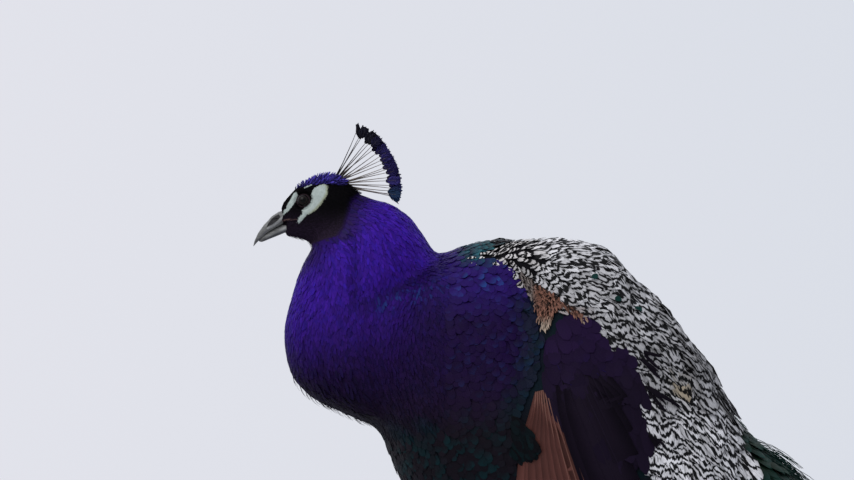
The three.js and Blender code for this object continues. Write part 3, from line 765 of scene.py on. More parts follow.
def line_gap(points, line):
    """Distance in the (x, z) plane from an open line."""
    flat = points[:, [0, 2]]
    nearest = np.full(len(flat), 1e9)
    for start, end in zip(np.array(line, float), np.array(line[1:], float)):
        side = end - start
        share = np.clip(((flat - start) @ side) / (side @ side), 0, 1)
        nearest = np.minimum(nearest, np.linalg.norm(flat - start - share[:, None] * side, axis=1))
    return nearest


def outline_gap(points, outline):
    """Signed distance in the (x, z) plane from a closed outline, negative inside."""
    x, _, z = points.T
    closed = outline + outline[:1]
    inside = np.zeros(len(points), bool)
    for (ax, az), (bx, bz) in zip(closed, closed[1:]):
        with np.errstate(divide="ignore", invalid="ignore"):
            meets = ax + (z - az) * (bx - ax) / (bz - az)
        inside ^= ((az > z) != (bz > z)) & (x < meets)
    gap = line_gap(points, closed)
    return np.where(inside, -gap, gap)


def beside(points, line, width):
    """1 on a line, fading to 0 over about its width."""
    return np.exp(-((line_gap(points, line) / width) ** 2))


def bare_skin(points):
    """1 on the white skin of the face, 0 elsewhere."""
    x, y, z = points.T
    ragged = 0.6 * np.sin(2.3 * x + 1.1 * np.sin(1.7 * z)) * np.sin(2.1 * z)
    patch = smooth(0.5, -0.5, outline_gap(points, FACE_PATCH) + ragged)
    lore = smooth(0.4, -0.4, outline_gap(points, LORE_PATCH) + 0.5 * ragged)
    brow = smooth(1.0, 0.5, line_gap(points, BROW_LINE))
    return smooth(6, 9, np.abs(y)) * np.maximum(np.maximum(patch, lore), brow)


def on_head(points):
    """1 on the black head, 0 on the neck."""
    x, y, z = points.T
    return smooth(5, -4, x - along_line(z, HEAD_EDGE)) * smooth(599, 603, z)


def on_crown(points):
    """1 on the cap of curled blue feathers."""
    return smooth(-1.0, 1.0, points[:, 2] - along_line(points[:, 0], CROWN_LINE)) * on_head(points)


def on_blue(points):
    """1 on the blue neck and breast, 0 behind and below them."""
    x, y, z = points.T
    return smooth(10, -10, x - along_line(z, BLUE_EDGE)) * smooth(395, 440, z - 0.12 * (x - 100))


def fold_shade(points):
    """How far a point lies in the fold of the neck, from 0 to 1."""
    crease = np.maximum(beside(points, NECK_CREASE, 4.5), beside(points, NECK_FOLD, 9))
    return smooth(12, 30, np.abs(points[:, 1])) * crease


def below_barred(points):
    """How far a point lies below and in front of the barred coat's lower edge."""
    x, y, z = points.T
    gap = line_gap(points, BARRED_EDGE)
    edge_z = np.interp(x, *np.transpose(BARRED_EDGE), left=620, right=0)
    return np.where((z < edge_z) & (x < 404), gap, -gap)


def buff_tint(points):
    """The colour of the downy patch in front of the wing: pinkish brown, paler at its tip and front."""
    low = smooth(527, 516, points[:, 2])
    front = smooth(282, 274, points[:, 0])
    return layered(linear("#986c5c"), ("#c4b19f", low), ("#a59a94", front * (1 - low)))


def plumage(points, chance=None):
    """The coat's colour at each point, in linear light; skin and feathers both take it."""
    x, y, z = points.T
    wave = 0.5 + 0.5 * np.sin(x / 9 + np.sin(z / 13) * 2) * np.sin(z / 11 + np.cos(y / 17) * 2)
    chance = wave if chance is None else chance
    blue = layered(
        linear(BLUE["bright"]),
        (BLUE["deep"], smooth(600, 458, z - 0.35 * (x - 80))),
        (BLUE["breast"], smooth(120, 200, x) * smooth(585, 560, z)),
        (BLUE["side"], smooth(160, 200, x) * smooth(520, 560, z)),
        (BLUE["low"], smooth(526, 428, z + 0.1 * (x - 100))),
    )
    blue = blue * (1 - 0.2 * smooth(205, 150, x))[:, None]
    # painted shade in the fold of the neck, over the skin's sunk crease
    blue = blue * (1 - 0.46 * fold_shade(points))[:, None]
    rear = smooth(-34, -6, x - along_line(z, SIDE_EDGE)) * smooth(415, 440, z) * smooth(556, 536, z)
    dusk = smooth(26, 0, x - along_line(z, HEAD_EDGE)) * smooth(560, 600, z)
    back = smooth(192, 206, x) * smooth(256, 242, x) * smooth(572, 584, z)
    thigh = smooth(270, 245, z) * smooth(215, 230, x)
    return layered(
        linear(BLACK["belly"]),
        (BLUE["green"], smooth(0.4, 1.0, wave * 0.5 + chance * 0.5) * 0.7),
        (blue, on_blue(points)),
        ("#12232b", rear * (0.55 + 0.45 * chance)),
        (BLUE["low"], dusk * 0.75),
        (blend(BLACK["velvet"], BLACK["throat"], smooth(640, 600, z)), on_head(points)),
        (blend(BLUE["cap_front"], BLUE["cap"], smooth(38, 54, x)), on_crown(points)),
        ("#0e1019", back * 0.85),
        (BLUE["teal"], back * (0.15 + 0.8 * smooth(0.4, 0.6, chance))),
        (BLACK["belly"], smooth(212, 224, x) * smooth(586, 594, z)),
        ("#6a5a48", thigh * smooth(30, 42, np.abs(y))),
    )


# ---- the skin ----------------------------------------------------------------------------------------------
FLESH = ["head", "neck_upper", "neck_lower", "trunk", "thigh_left", "thigh_right"]
WING_FLESH = [f"wing_{side}_{part}" for side in ("left", "right") for part in ("scapulars", "coverts")]
EYE = {"x": 50.6, "z": 643.4, "y": 14.8, "radius": 5.7}
SINK_STEPS = 6  # the skin sinks under the coat in so many steps, so that no sharp rim folds over

# How much deeper the skin lies under the back's outline along x, and that outline's height.
TOP_TRIM = [(104, 0), (118, -0.8), (150, -1.2), (185, -3), (215, -5.4), (250, -7), (268, -5.5), (300, -3),
            (340, -1.5), (372, 5.5), (400, 7.5), (422, 1.5), (440, -9), (455, -6), (470, -5), (485, 0),
            (500, 8)]
BACK_LINE = [(150, 640), (184, 589), (232, 605), (299, 608), (356, 594), (394, 559), (442, 503), (480, 443),
             (520, 367)]
# Where else it lies deeper: by how many millimetres, then slopes along x (0) or z (2) that bound the place.
DEPTHS = [
    (-0.6, (2, 652, 662), (0, 100, 94)), (-1.5, (0, 56, 42), (2, 632, 642)),
    (0.8, (0, 150, 166), (0, 196, 180), (2, 575, 590)), (1.8, (0, 200, 180), (2, 430, 410)),
    (-1.3, (0, 75, 50), (2, 535, 515), (2, 450, 480)), (0.3, (0, 110, 90), (2, 462, 440)),
    (-1.2, (0, 160, 135), (0, 95, 110), (2, 445, 425)), (-0.7, (0, 80, 60), (2, 572, 582), (2, 600, 594)),
]


def coat_depth(points):
    """How far the skin lies inside the coat's outline, in millimetres."""
    x, y, z = points.T
    depth = 1.1 + 0.6 * smooth(85, 130, x - 0.4 * (z - 600)) + 4.0 * smooth(150, 230, x)
    depth = np.maximum(depth, 0.6 * smooth(600, 585, z) + 1.1)
    for amount, *slopes in DEPTHS:
        for axis, low, high in slopes:
            amount = amount * smooth(low, high, points[:, axis])
        depth = depth + amount
    depth = depth + 0.8 * np.exp(-(((z - 550) / 16) ** 2)) * smooth(75, 60, x)
    depth = depth - 2.2 * np.exp(-(((x - 112) / 9) ** 2)) * smooth(640, 648, z)
    top = along_line(x, TOP_TRIM) * smooth(-60, -25, z - along_line(x, BACK_LINE))
    return (depth + top) * (1 - 0.35 * smooth(230, 170, z))


def refine(piece, chosen):
    """Divides the faces whose vertices are chosen once, evenly."""
    edit(piece, (bpy.ops.mesh.select_all, {"action": "DESELECT"}))
    piece.data.polygons.foreach_set("select", chosen)
    bpy.ops.object.mode_set(mode="EDIT")
    bpy.ops.mesh.subdivide(number_cuts=1, smoothness=0)
    bpy.ops.object.mode_set(mode="OBJECT")


def sculpt_head(points, normals):
    """Sinks the eye's socket, raises the lids, cheek and bare skin, and folds the gape."""
    x, y, z = points.T
    away = np.hypot(x - EYE["x"], z - EYE["z"])
    socket = -2.6 * smooth(11.5, 6.5, away)
    lid = 3.0 * np.exp(-(((away - 5.3) / 1.25) ** 2))
    brow = 1.2 * beside(points, [(34, 650), (46, 656), (60, 659)], 3.2)
    patch = 0.8 * smooth(1.5, -2.5, outline_gap(points, FACE_PATCH))
    cheek = 1.4 * np.exp(-(((x - 70) / 13) ** 2 + ((z - 625) / 10) ** 2))
    lore = -0.9 * beside(points, [(30, 629), (41, 640)], 3.5)
    gape = -0.9 * beside(points, [(28, 621), (45, 622.5)], 1.0)
    jaw = -4.2 * smooth(34.5, 31, x) * smooth(609, 612, z) * smooth(624, 621, z) * smooth(2, 5, np.abs(y))
    chin = np.exp(-(((x - 32) / 7) ** 2 + ((z - 608) / 4.5) ** 2))[:, None] * np.array([-3.0, 0, -2.8])
    raised = smooth(5, 10, np.abs(y)) * (socket + lid + brow + patch + cheek + lore + gape + jaw)
    return points + normals * raised[:, None] + chin


def make_skin():
    """The bird's flesh as one skin, sunk under its coat, sculpted at the head and coloured."""
    skin = joined_copy("skin", FLESH + WING_FLESH, 0.6, voxel=3.9, smoothing=10)
    depth = (coat_depth(coordinates(skin.data)) + 0.6)[:, None]
    for _ in range(SINK_STEPS):
        set_coordinates(skin.data, coordinates(skin.data) - vertex_normals(skin.data) * depth / SINK_STEPS)
        apply_modifier(skin, "SMOOTH", factor=0.4, iterations=1)
    for level in range(3):
        x, y, z = to_bird(read(skin.data.polygons, "center")).T
        chosen = (x < 106) & (z > 598)
        if level == 2:
            chosen &= (np.hypot(x - 52, z - 642) < 20) & (np.abs(y) > 6)
        refine(skin, chosen)
    apply_modifier(skin, "SMOOTH", iterations=4)
    points = coordinates(skin.data)
    shaped = sculpt_head(points, vertex_normals(skin.data))
    shaped = np.where((points[:, 0] < 106)[:, None], shaped, points)
    set_coordinates(skin.data, shaped - vertex_normals(skin.data) * 2.4 * fold_shade(points)[:, None])
    unwrap(skin)
    points = coordinates(skin.data)
    x, y, z = points.T
    away = np.hypot(x - EYE["x"], z - EYE["z"])
    cream = smooth(-3.2, -0.6, outline_gap(points, FACE_PATCH)) * smooth(60, 68, x + 0.5 * (645 - z))
    # painted shade: the skin in the gaps under the barred coat is near-black
    painted_shade_under_barred = smooth(1, -3, below_barred(points)) * smooth(206, 216, x) * smooth(330, 350, z)
    # the buff patch's own colour on the skin under it, darkened as painted shade
    down_under = smooth(1.5, -1, outline_gap(points, BUFF_PATCH)) * smooth(45, 55, np.abs(y))
    lids = smooth(7.5, 6.5, away) * smooth(6, 9, np.abs(y))
    # painted shade: under the coat the skin takes the coat's colour darkened, most on the head, so the gaps
    # between feathers read as shaded
    paint(skin, layered(
        plumage(points) * (0.75 - 0.45 * on_head(points))[:, None],
        (blend("#b7c3be", "#a6ab8c", 0.8 * cream), bare_skin(points)),
        ("#0f0e12", painted_shade_under_barred),
        (buff_tint(points) * 0.6, down_under),
        (blend("#0d0b0f", "#32262c", smooth(4.1, 5.4, away)), lids),
        ("#5c4745", smooth(1.3, 0.5, line_gap(points, GAPE_LINE)) * smooth(3, 5, np.abs(y))),
    ))
    finish_piece(skin, bare, "body_feathers", *FLESH, *WING_FLESH)
    return skin


def zone_of(points, *groups):
    """Which group of CAD nodes lies nearest to each point."""
    gaps = []
    for nodes in groups:
        corners, faces = [], []
        for node in nodes:
            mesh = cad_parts[node].data
            start = sum(len(some) for some in corners)
            corners.append(coordinates(mesh))
            faces += [[start + vertex for vertex in polygon.vertices] for polygon in mesh.polygons]
        tree = BVHTree.FromPolygons(np.concatenate(corners).tolist(), faces)
        gaps.append([tree.find_nearest(point)[3] for point in points.tolist()])
    return np.array(gaps).argmin(0)


# ---- the train's form --------------------------------------------------------------------------------------
# Stations along the train: (upper x, upper z, lower x, lower z, half width).
TRAIN = np.array([
    (318, 566, 318, 566, 0), (350, 556, 345, 520, 38), (398, 512, 385, 455, 56), (446, 464, 420, 392, 70),
    (494, 407, 452, 334, 84), (547, 364, 486, 278, 97), (596, 308, 536, 224, 111), (645, 250, 597, 166, 126),
    (710, 190, 665, 104, 142), (790, 132, 752, 40, 158), (880, 92, 848, -42, 171), (1000, 66, 985, -56, 182),
    (1140, 57, 1132, -54, 188), (1280, 50, 1274, -47, 184), (1400, 42, 1396, -40, 168),
    (1490, 32, 1488, -31, 138), (1545, 20, 1544, -20, 90), (1570, 0, 1570, 0, 0),
], float)


def spline(table, share):
    """A smooth curve through the table's rows, at shares 0 to 1 of its rows."""
    share = np.clip(np.asarray(share, float), 0, 1) * (len(table) - 1)
    low = np.minimum(share.astype(int), len(table) - 2)
    t = (share - low)[..., None]
    rows = np.concatenate([[2 * table[0] - table[1]], table, [2 * table[-1] - table[-2]]])
    a, b, c, d = (rows[low + i] for i in range(4))
    return 0.5 * (2 * b + (c - a) * t + (2 * a - 5 * b + 4 * c - d) * t**2 + (3 * b - a - 3 * c + d) * t**3)


def on_train(share, turn, lift):
    """Places on the upper side of the train, lift above it, and the outward directions there."""
    row = spline(TRAIN, share)
    upper, lower, half = row[..., [0, 1]], row[..., [2, 3]], row[..., 4]
    middle = (upper + lower) / 2
    rise = upper - middle
    up = rise / np.maximum(np.linalg.norm(rise, axis=-1, keepdims=True), 1e-6)
    flat = middle + rise * np.cos(turn)[..., None]
    out = unit(np.stack([up[..., 0] * np.cos(turn), np.sin(turn) * 0.45, up[..., 1] * np.cos(turn)], -1))
    place = np.stack([flat[..., 0], half * np.sin(turn), flat[..., 1]], -1)
    return place + out * np.asarray(lift)[..., None], out


# ---- the bird's head, neck and body ------------------------------------------------------------------------
set_camera()
set_light()
lay_floor()
surface = Surface(make_skin())
SIDES = ((-1, "left"), (1, "right"))
BODY, THIGHS = 0, 2  # with the wings between them, as in the groups below
zone = zone_of(
    surface.centres,
    ["trunk", "neck_lower", "neck_upper", "head"],
    ["wing_left_scapulars", "wing_right_scapulars", "wing_left_coverts", "wing_right_coverts"],
    ["thigh_left", "thigh_right"],
)


def dress_head():
    """Short velvet feathers round the bare skin, and the cap's curled ones."""
    rng = random_for(1)
    centres = surface.centres
    x, y, z = centres.T
    clear_eye = (np.hypot(x - EYE["x"], z - EYE["z"]) > 7.4) | (np.abs(y) < 8)
    bill_base = np.interp(z, [607, 610, 612, 620, 622, 628, 634], [20, 26, 33, 33, 29, 27, 24])
    wanted = (on_head(centres) > 0.5) & (bare_skin(centres) < 0.4) & clear_eye & (x > bill_base)
    places = surface.scatter(1.1, wanted & (on_crown(centres) < 0.5), rng)
    tips = places[0] + 2.6 * seat(lie_at(places[0], HEAD_LIE), places[1])
    places = only(places, (bare_skin(tips) < 0.5) | (rng.random(len(tips)) < 0.06))
    x, y, z = places[0].T
    chin = smooth(64, 56, x) * smooth(614, 609, z) * (rng.random(len(x)) < 0.25)
    nape = smooth(92, 98, x) * smooth(640, 650, z)
    coat("face_feathers", (velvet, "face_feathers"), surface, places, HEAD_LIE, STRAND,
         3.2 + 1.8 * chin + 2 * nape, 1.2, 0.2, plumage(places[0]), rng, sink=0.3,
         lift=0.25 + 1.5 * chin + 2 * nape, soft=0.95)
    rng = random_for(2)
    places = surface.scatter(1.8, wanted & (on_crown(centres) > 0.3), rng)
    tints = plumage(places[0]) * (0.45 + 1.1 * rng.random((len(places[0]), 1)))
    coat("crown_feathers", (blue_plumage, "crest_feathers"), surface, places, HEAD_LIE, LEAF, 3.6, 2.4, 0.5,
         tints, rng, sink=0.3, lift=1.7, spread=0.7, curl=0.34, soft=0.35)


def dress_neck():
    """Small silky blue feathers, some with a paler edge along the fold."""
    rng = random_for(3)
    centres = surface.centres
    wanted = (on_head(centres) < 0.5) & (centres[:, 0] < 196) & (on_blue(centres) > 0.05)
    every = surface.scatter(2.0, wanted & (zone == BODY), rng)
    for part in (0, 1):
        places = only(every, slice(part, None, 2))
        points = places[0]
        x, y, z = points.T
        chance = rng.random(len(points))
        tints = plumage(points) * blend(np.ones(3), np.array([0.75, 1.0, 1.06]), chance**2)
        tints = tints * rng.uniform(0.72, 1.3, (len(chance), 1))
        row = beside(points, SCALE_ROW, 7) * smooth(100, 130, x)
        tints = blend(tints, "#263c84", row * smooth(0.55, 0.9, chance) * 0.7)
        loose = (chance > 0.92) & (z < 478) & (x < 110)
        coat(f"neck_feathers_{part + 1}", (blue_plumage, "blue_feathers"), surface, places, EVERY_LIE, LEAF,
             12.5, 3.2, 0.14, tints, rng, sink=0.5, lift=0.9 + 2.8 * loose, rise=0.7, spread=0.16, soft=0.95)


def dress_body():
    """Scale-like feathers with teal and green edges, longer on the mantle."""
    rng = random_for(4)
    centres = surface.centres
    x, y, z = centres.T
    middle = np.abs(y) < np.interp(x, (236, 262, 380, 415), (36, 24, 24, 0))
    own = (x - along_line(z, SIDE_EDGE) < -4) | middle | (z < 300)
    wanted = (on_head(centres) < 0.5) & own & ((x >= 192) | (on_blue(centres) <= 0.1))
    every = surface.scatter(3.6, (zone != THIGHS) & wanted, rng)
    for part in (0, 1):
        places = only(every, slice(part, None, 2))
        points = places[0]
        x, y, z = points.T
        chance = rng.random(len(points))
        tints = plumage(points, chance)
        teal = blend("#1f3f78", BLUE["green"], smooth(500, 420, z))
        teal = blend(teal, "#2c6a72", smooth(572, 584, z) * smooth(196, 206, x))
        row = beside(points, SCALE_ROW, 9)
        share = smooth(0.5, 1.0, chance) * smooth(170, 200, x) * np.maximum(0.22, row)
        share = np.maximum(share, 0.6 * smooth(0.4, 0.9, chance) * smooth(440, 400, z))
        share = np.maximum(share, 0.8 * smooth(572, 590, z) * smooth(200, 215, x) * smooth(236, 222, x))
        rims = blend(tints, teal * (1.3 + 0.6 * row)[:, None], share)
        mantle = smooth(222, 240, x) * smooth(578, 590, z)
        coat(f"body_feathers_{part + 1}", (scale_plumage, "body_feathers"), surface, places, EVERY_LIE, SCALE,
             14 + 8 * mantle, 8.5, 0.4, tints, rng, sink=0.8, lift=1.9 + 3.6 * mantle, rise=0.8, rims=rims,
             spread=0.2 - 0.13 * mantle, soft=0.92)


# ---- the wings ---------------------------------------------------------------------------------------------
def dress_barred():
    """The barred scapulars, and the downy buff patch in front of them."""
    barred = barred_material()
    rng = random_for(5)
    centres = surface.centres
    x, y, z = centres.T
    top = np.interp(x, [208, 245, 260, 267], [583, 594, 605, 640])
    wanted = (below_barred(centres) < -1) & (x > 208) & (z < top) & (z > 330) & (zone != THIGHS)
    wanted &= np.abs(y) > np.interp(x, (380, 420), (22, 0))
    wanted &= x < np.interp(z, (400, 430, 460), (462, 466, 482))
    every = surface.scatter(5.4, wanted, rng)
    for part in (0, 1):
        places = only(every, slice(part, None, 2))
        points, normals, _ = places
        behind = (np.abs(points[:, 1]) > 25) & (points[:, 2] > 395) & (normals[:, 0] < 0.98)
        places = only(places, ((normals[:, 0] < 0.8) | behind) & (normals[:, 2] > -0.3))
        points = places[0]
        x, y, z = points.T
        chance = rng.random((len(points), 1))
        toned = np.interp(z, [365, 430, 480, 560, 600], [1.6, 1.36, 0.68, 1.0, 1.38])
        high = smooth(420, 440, x) * smooth(470, 455, x)
        last = smooth(438, 462, x)
        size = 14 + 18 * smooth(250, 420, x) + (6 + 14 * smooth(425, 400, z)) * last
        curled = np.exp(-(np.hypot(x - 414, z - 474) / 9) ** 2)
        fore = smooth(292, 262, x) * smooth(560, 580, z)
        tints = layered(
            linear("#fafafc") * (0.66 + 0.38 * chance) * toned[:, None],
            ("#a87b68", beside(points, [(262, 560), (290, 541), (318, 531)], 6) * 0.3),
            ("#d9c6a2", 0.8 * curled + 0.2 * fore),
        )
        coat(f"barred_feathers_{part + 1}", (barred, "barred_feathers"), surface, places, WING_LIE, LEAF,
             size * 1.12, (0.62 - 0.25 * fore) * size, 0.5, tints, rng, sink=0.8, lift=2.2 + 4 * high,
             rise=0.8, spread=0.14, free=0.7 * last, soft=0.85)
    rng = random_for(15)
    near = (outline_gap(centres, BUFF_PATCH) < 0.8) | (line_gap(centres, BUFF_STRIP) < 2)
    places = surface.scatter(1.4, (zone != THIGHS) & near & (np.abs(centres[:, 1]) > 50), rng)
    points = places[0]
    speck = smooth(0.72, 0.85, rng.random(len(points))) * smooth(518, 530, points[:, 2])
    tints = buff_tint(points) * rng.uniform(0.75, 1.2, (len(points), 1))
    coat("buff_feathers", (down, "barred_feathers"), surface, places, BUFF_LIE, STRAND, 8, 2.4, 0.5,
         blend(tints, "#332622", speck), rng, sink=0.5, lift=3.2, rise=1.0, soft=0.9)


def dress_coverts():
    """Dark coverts with a violet gloss, cut off in a straight line over the primaries."""
    rng = random_for(6)
    centres = surface.centres
    x, y, z = centres.T
    wanted = (below_barred(centres) > -2) & (x - along_line(z, COVERT_FRONT) > -3) & (np.abs(y) > 50)
    wanted &= (z > 425) & (x < 402) & (outline_gap(centres, BUFF_PATCH) > 2.5) & (zone != THIGHS)
    places = surface.scatter(4.2, wanted, rng)
    size = 26 + 30 * smooth(500, 440, places[0][:, 2])
    tips = places[0] + lie_at(places[0], WING_LIE) * size[:, None]
    over_primaries = (tips[:, 0] - 285) - 0.516 * (447 - tips[:, 2]) < 7
    inside = (below_barred(tips) > 0) & ~(over_primaries & (tips[:, 2] < 452))
    places, size = only(places, inside), size[inside]
    x, y, z = places[0].T
    chance = rng.random(len(x))
    height = z - 0.75 * size - 0.2 * (x - 320)
    tints = blend("#26153a", "#21172c", smooth(500, 440, height))
    rims = blend(tints, "#2a1a52", smooth(0.5, 1, chance) * smooth(450, 500, height) * 0.5)
    coat("wing_coverts", (dark_plumage, "dark_wing_feathers"), surface, places, WING_LIE, SCALE, size,
         11 + 0.06 * size, 0.6, tints, rng, sink=1.2, lift=2.2, rise=0.8, spread=0.08, rims=rims, soft=0.94)


# The fans of long feathers: how many, angles below level, lengths, half width, where the first and the last
# grow (x, z), how far outside the wing's surface they lie, and their colours.
SECONDARIES = {"count": 13, "angles": (66.5, 56), "lengths": (305, 340), "width": 23, "first": (296, 490),
               "last": (366, 502), "clear": (2.6, 4.2), "vane": "#231a2a", "rim": "#2a2133", "shaft": 0.9}
PRIMARIES = {"count": 9, "angles": (93, 68), "lengths": (225, 285), "width": 12.5, "first": (280, 449),
             "last": (293, 452), "clear": (1.6, 2.6), "vane": "#824f47", "rim": "#98685c", "shaft": 1.3}
INWARD_SLOPE = 0.2  # how fast a long feather may close in on the body
WING_SIDE = -105  # where a long feather starts if no skin lies under its root


def side_reach(lines):
    """How far out (negative y) the left side lies under lines given as (feathers, stations, 2)."""
    reach = np.empty(lines.shape[:2])
    for feather, line in enumerate(lines):
        last = None
        for station, (x, z) in enumerate(line):
            found = surface.tree.ray_cast(Vector((x, -300, z)), Vector((0, 1, 0)))[0]
            step = 0 if station == 0 else np.linalg.norm(line[station] - line[station - 1])
            inner = WING_SIDE if last is None else last + INWARD_SLOPE * step
            last = inner if found is None else (found.y if last is None else min(found.y, inner))
            reach[feather, station] = last
    return reach


def long_fan(name, finish, plan, side, key):
    """A fan of long flat feathers on the side of the wing, each with its shaft."""
    rng = random_for(key)
    count = plan["count"]
    share = np.linspace(0, 1, count)
    angle = np.radians(np.interp(share, (0, 1), plan["angles"]) + 0.5 * rng.standard_normal(count))
    reach = np.interp(share, (0, 1), plan["lengths"]) - 8
    root = blend(np.array(plan["first"], float), np.array(plan["last"], float), share)
    tip = root + np.stack([np.cos(angle), -np.sin(angle)], 1) * reach[:, None]
    middle = (root + tip) / 2 + np.stack([-np.sin(angle), -np.cos(angle)], 1) * 6
    flat = curves(QUILL, root, middle, tip)
    clear = np.interp(share, (0, 1), plan["clear"])[:, None] * smooth(0, 0.2, QUILL["stations"])[None]
    edge = np.array(BARRED_EDGE, float)[::-1]
    under = smooth(-30, -19, flat[..., 0] - np.interp(flat[..., 1], edge[:, 1], edge[:, 0]))
    y = side_reach(flat) - clear * (1 - under) + 12 * under
    lines = np.stack([flat[..., 0], -side * y, flat[..., 1]], -1)
    out = np.array([0.0, side, 0.0])
    rim = linear(plan["rim"])
    each = linear(plan["vane"]) * (0.85 + 0.3 * rng.random((count, 1)))
    feathered(name, finish, QUILL, lines, out, plan["width"] * QUILL["outline"], 1.2, each, rng, rims=rim,
              cup=0.04)
    thin = 0.9 * np.linspace(1.2, 0.5, len(QUILL["stations"]))
    feathered(f"{name}_shafts", finish[:2], QUILL, lines + out * 0.7, out, thin, 1.0, rim * plan["shaft"],
              rng)


def dress_wing_fans():
    for side, name in SIDES:
        finish = (dark_plumage, "dark_wing_feathers", f"wing_{name}_secondaries")
        long_fan(f"secondaries_{name}", finish, SECONDARIES, side, 20 + side)
        finish = (chestnut, "chestnut_feathers", f"wing_{name}_primaries")
        long_fan(f"primaries_{name}", finish, PRIMARIES, side, 24 + side)


# Where dark flank feathers lie over the front of the folded primaries, as a closed outline (x, z).
FLANK_LOBE = [(250, 438), (259, 428), (268, 415), (276, 404), (281, 399), (270, 394), (256, 392), (246, 396)]
# Small feathers placed one by one: width, colour, lift, copies, then roots (x, z), ways (x, z) and lengths.
LOOSE_FEATHERS = [
    (3.4, "#15101a", 4.6, 4, [(378, 487, 0.85, -0.52, 26), (382, 456, 0.8, -0.6, 34),
                              (388, 411, 0.65, -0.76, 20)]),
    (6, "#17403c", 4.6, 1, [(336, 561, 0.8, -0.6, 8), (355, 543, 0.75, -0.65, 9), (371, 529, 0.7, -0.7, 9)]),
    (0.5, "#2c1e66", 2.4, 2, [(309, 500, 0.12, -1, 15), (309, 457, 1, -0.1, 14), (322, 452, 1, -0.25, 13),
                              (350, 436, 1, 0.1, 9), (336, 470, 0.8, -0.5, 10), (296, 478, 0.6, -0.8, 10)]),
]


def side_places(flat, side):
    """Places on the skin's side under (x, z) points: points, normals and unwrap."""
    found = [surface.tree.ray_cast(Vector((x, 300 * side, z)), Vector((0, -side, 0)))[:2] for x, z in flat]
    points, normals = (np.array([tuple(pair[i]) for pair in found if pair[0] is not None]) for i in (0, 1))
    return points, normals, surface.nearest(points)[2]


def dress_flank_lobes():
    rng = random_for(16)
    for side, name in SIDES:
        flat = rng.uniform((254, 372), (294, 436), (700, 2))
        flat = flat[outline_gap(np.insert(flat, 1, 0, axis=1), FLANK_LOBE) < 0]
        places = side_places(flat, side)
        tints = blend("#121117", "#0f2226", rng.random(len(places[0])) ** 2)
        sink = -1 - 3.5 * smooth(262, 274, places[0][:, 0])
        coat(f"flank_lobe_{name}", (dark_plumage, "body_feathers"), surface, places,
             np.array([[0.6, 0, -0.8]]), SCALE, 15, 6, 0.5, tints, rng, sink=sink, lift=1.5 - sink, rise=1.0,
             soft=0.9)


def dress_loose_feathers():
    """Dark tongues that reach into the barred coat, teal tips above it and stray violet barbs."""
    rng = random_for(17)
    for side, name in SIDES:
        rows = []
        for width, code, lift, copies, spots in LOOSE_FEATHERS:
            for x, z, way_x, way_z, length in spots:
                for _ in range(copies):
                    place = (x + rng.uniform(-3, 3), z + rng.uniform(-3, 3))
                    rows.append((*place, way_x, 0, way_z, length, width, lift, *linear(code)))
        rows = np.array(rows)
        places = side_places(rows[:, :2], side)
        coat(f"loose_feathers_{name}", (dark_plumage, "dark_wing_feathers"), surface, places, rows[:, 2:5],
             LEAF, rows[:, 5], rows[:, 6], 0.4, rows[:, 8:], rng, sink=0.2, lift=rows[:, 7], rise=1.0,
             soft=0.9)


def dress_thighs():
    rng = random_for(7)
    places = surface.scatter(4.5, zone == THIGHS, rng)
    points = places[0]
    brown = blend("#40362e", "#7d6e5c", smooth(0.1, 0.9, rng.random(len(points))))
    coat("thigh_feathers", (down, "thigh_feathers"), surface, places, LEG_LIE, LEAF,
         20 - 8 * smooth(220, 160, points[:, 2]), 7, 0.8, brown, rng, sink=1.0, lift=4.0, spread=0.2)


# ---- the train and the tail --------------------------------------------------------------------------------
BRONZE = ["#4a6a22", "#7d7a2c", "#6a4a20", "#2f5a34", "#8d8a3a"]
TRAIN_NODES = ["train_upper", "train_middle", "train_lower"]
TRAIN_FEATHERS = {"count": 190, "first": 0.34, "last": 0.955, "turn": 84, "barbs": 46, "side_barbs": 2600}
GOLDEN = 0.6180339887  # spreads the feathers evenly from side to side


def bronze_tints(count, rng):
    shades = np.array([linear(code) for code in BRONZE])
    return shades[rng.integers(0, len(shades), count)] * (0.7 + 0.5 * rng.random((count, 1)))


def make_train_bed():
    """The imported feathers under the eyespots: a thin dark body that fills the train."""
    bed = joined_copy("train_bed", TRAIN_NODES, 0.6, voxel=7)
    points = coordinates(bed.data)
    x = points[:, 0]
    sunk = points - vertex_normals(bed.data) * (7 + 12 * smooth(372, 325, points[:, :1]))
    sunk[:, 2] -= 16 * smooth(385, 335, x)
    sunk[:, 2] = np.maximum(sunk[:, 2], 0.4)
    sunk[:, 0] -= 0.27 * np.maximum(x - 1380, 0)
    sunk[:, 1] *= 1 - 0.22 * smooth(1330, 1480, x)
    set_coordinates(bed.data, sunk)
    unwrap(bed)
    paint(bed, linear("#1d2412"))
    finish_piece(bed, bare, "train_feathers", *TRAIN_NODES)
    return Surface(bed)


def hidden(share):
    """How much deeper the train's shafts lie where the rump's feathers cover them."""
    return 9 * smooth(0.4, 0.22, share) + 9 * smooth(0.15, 0.07, share)


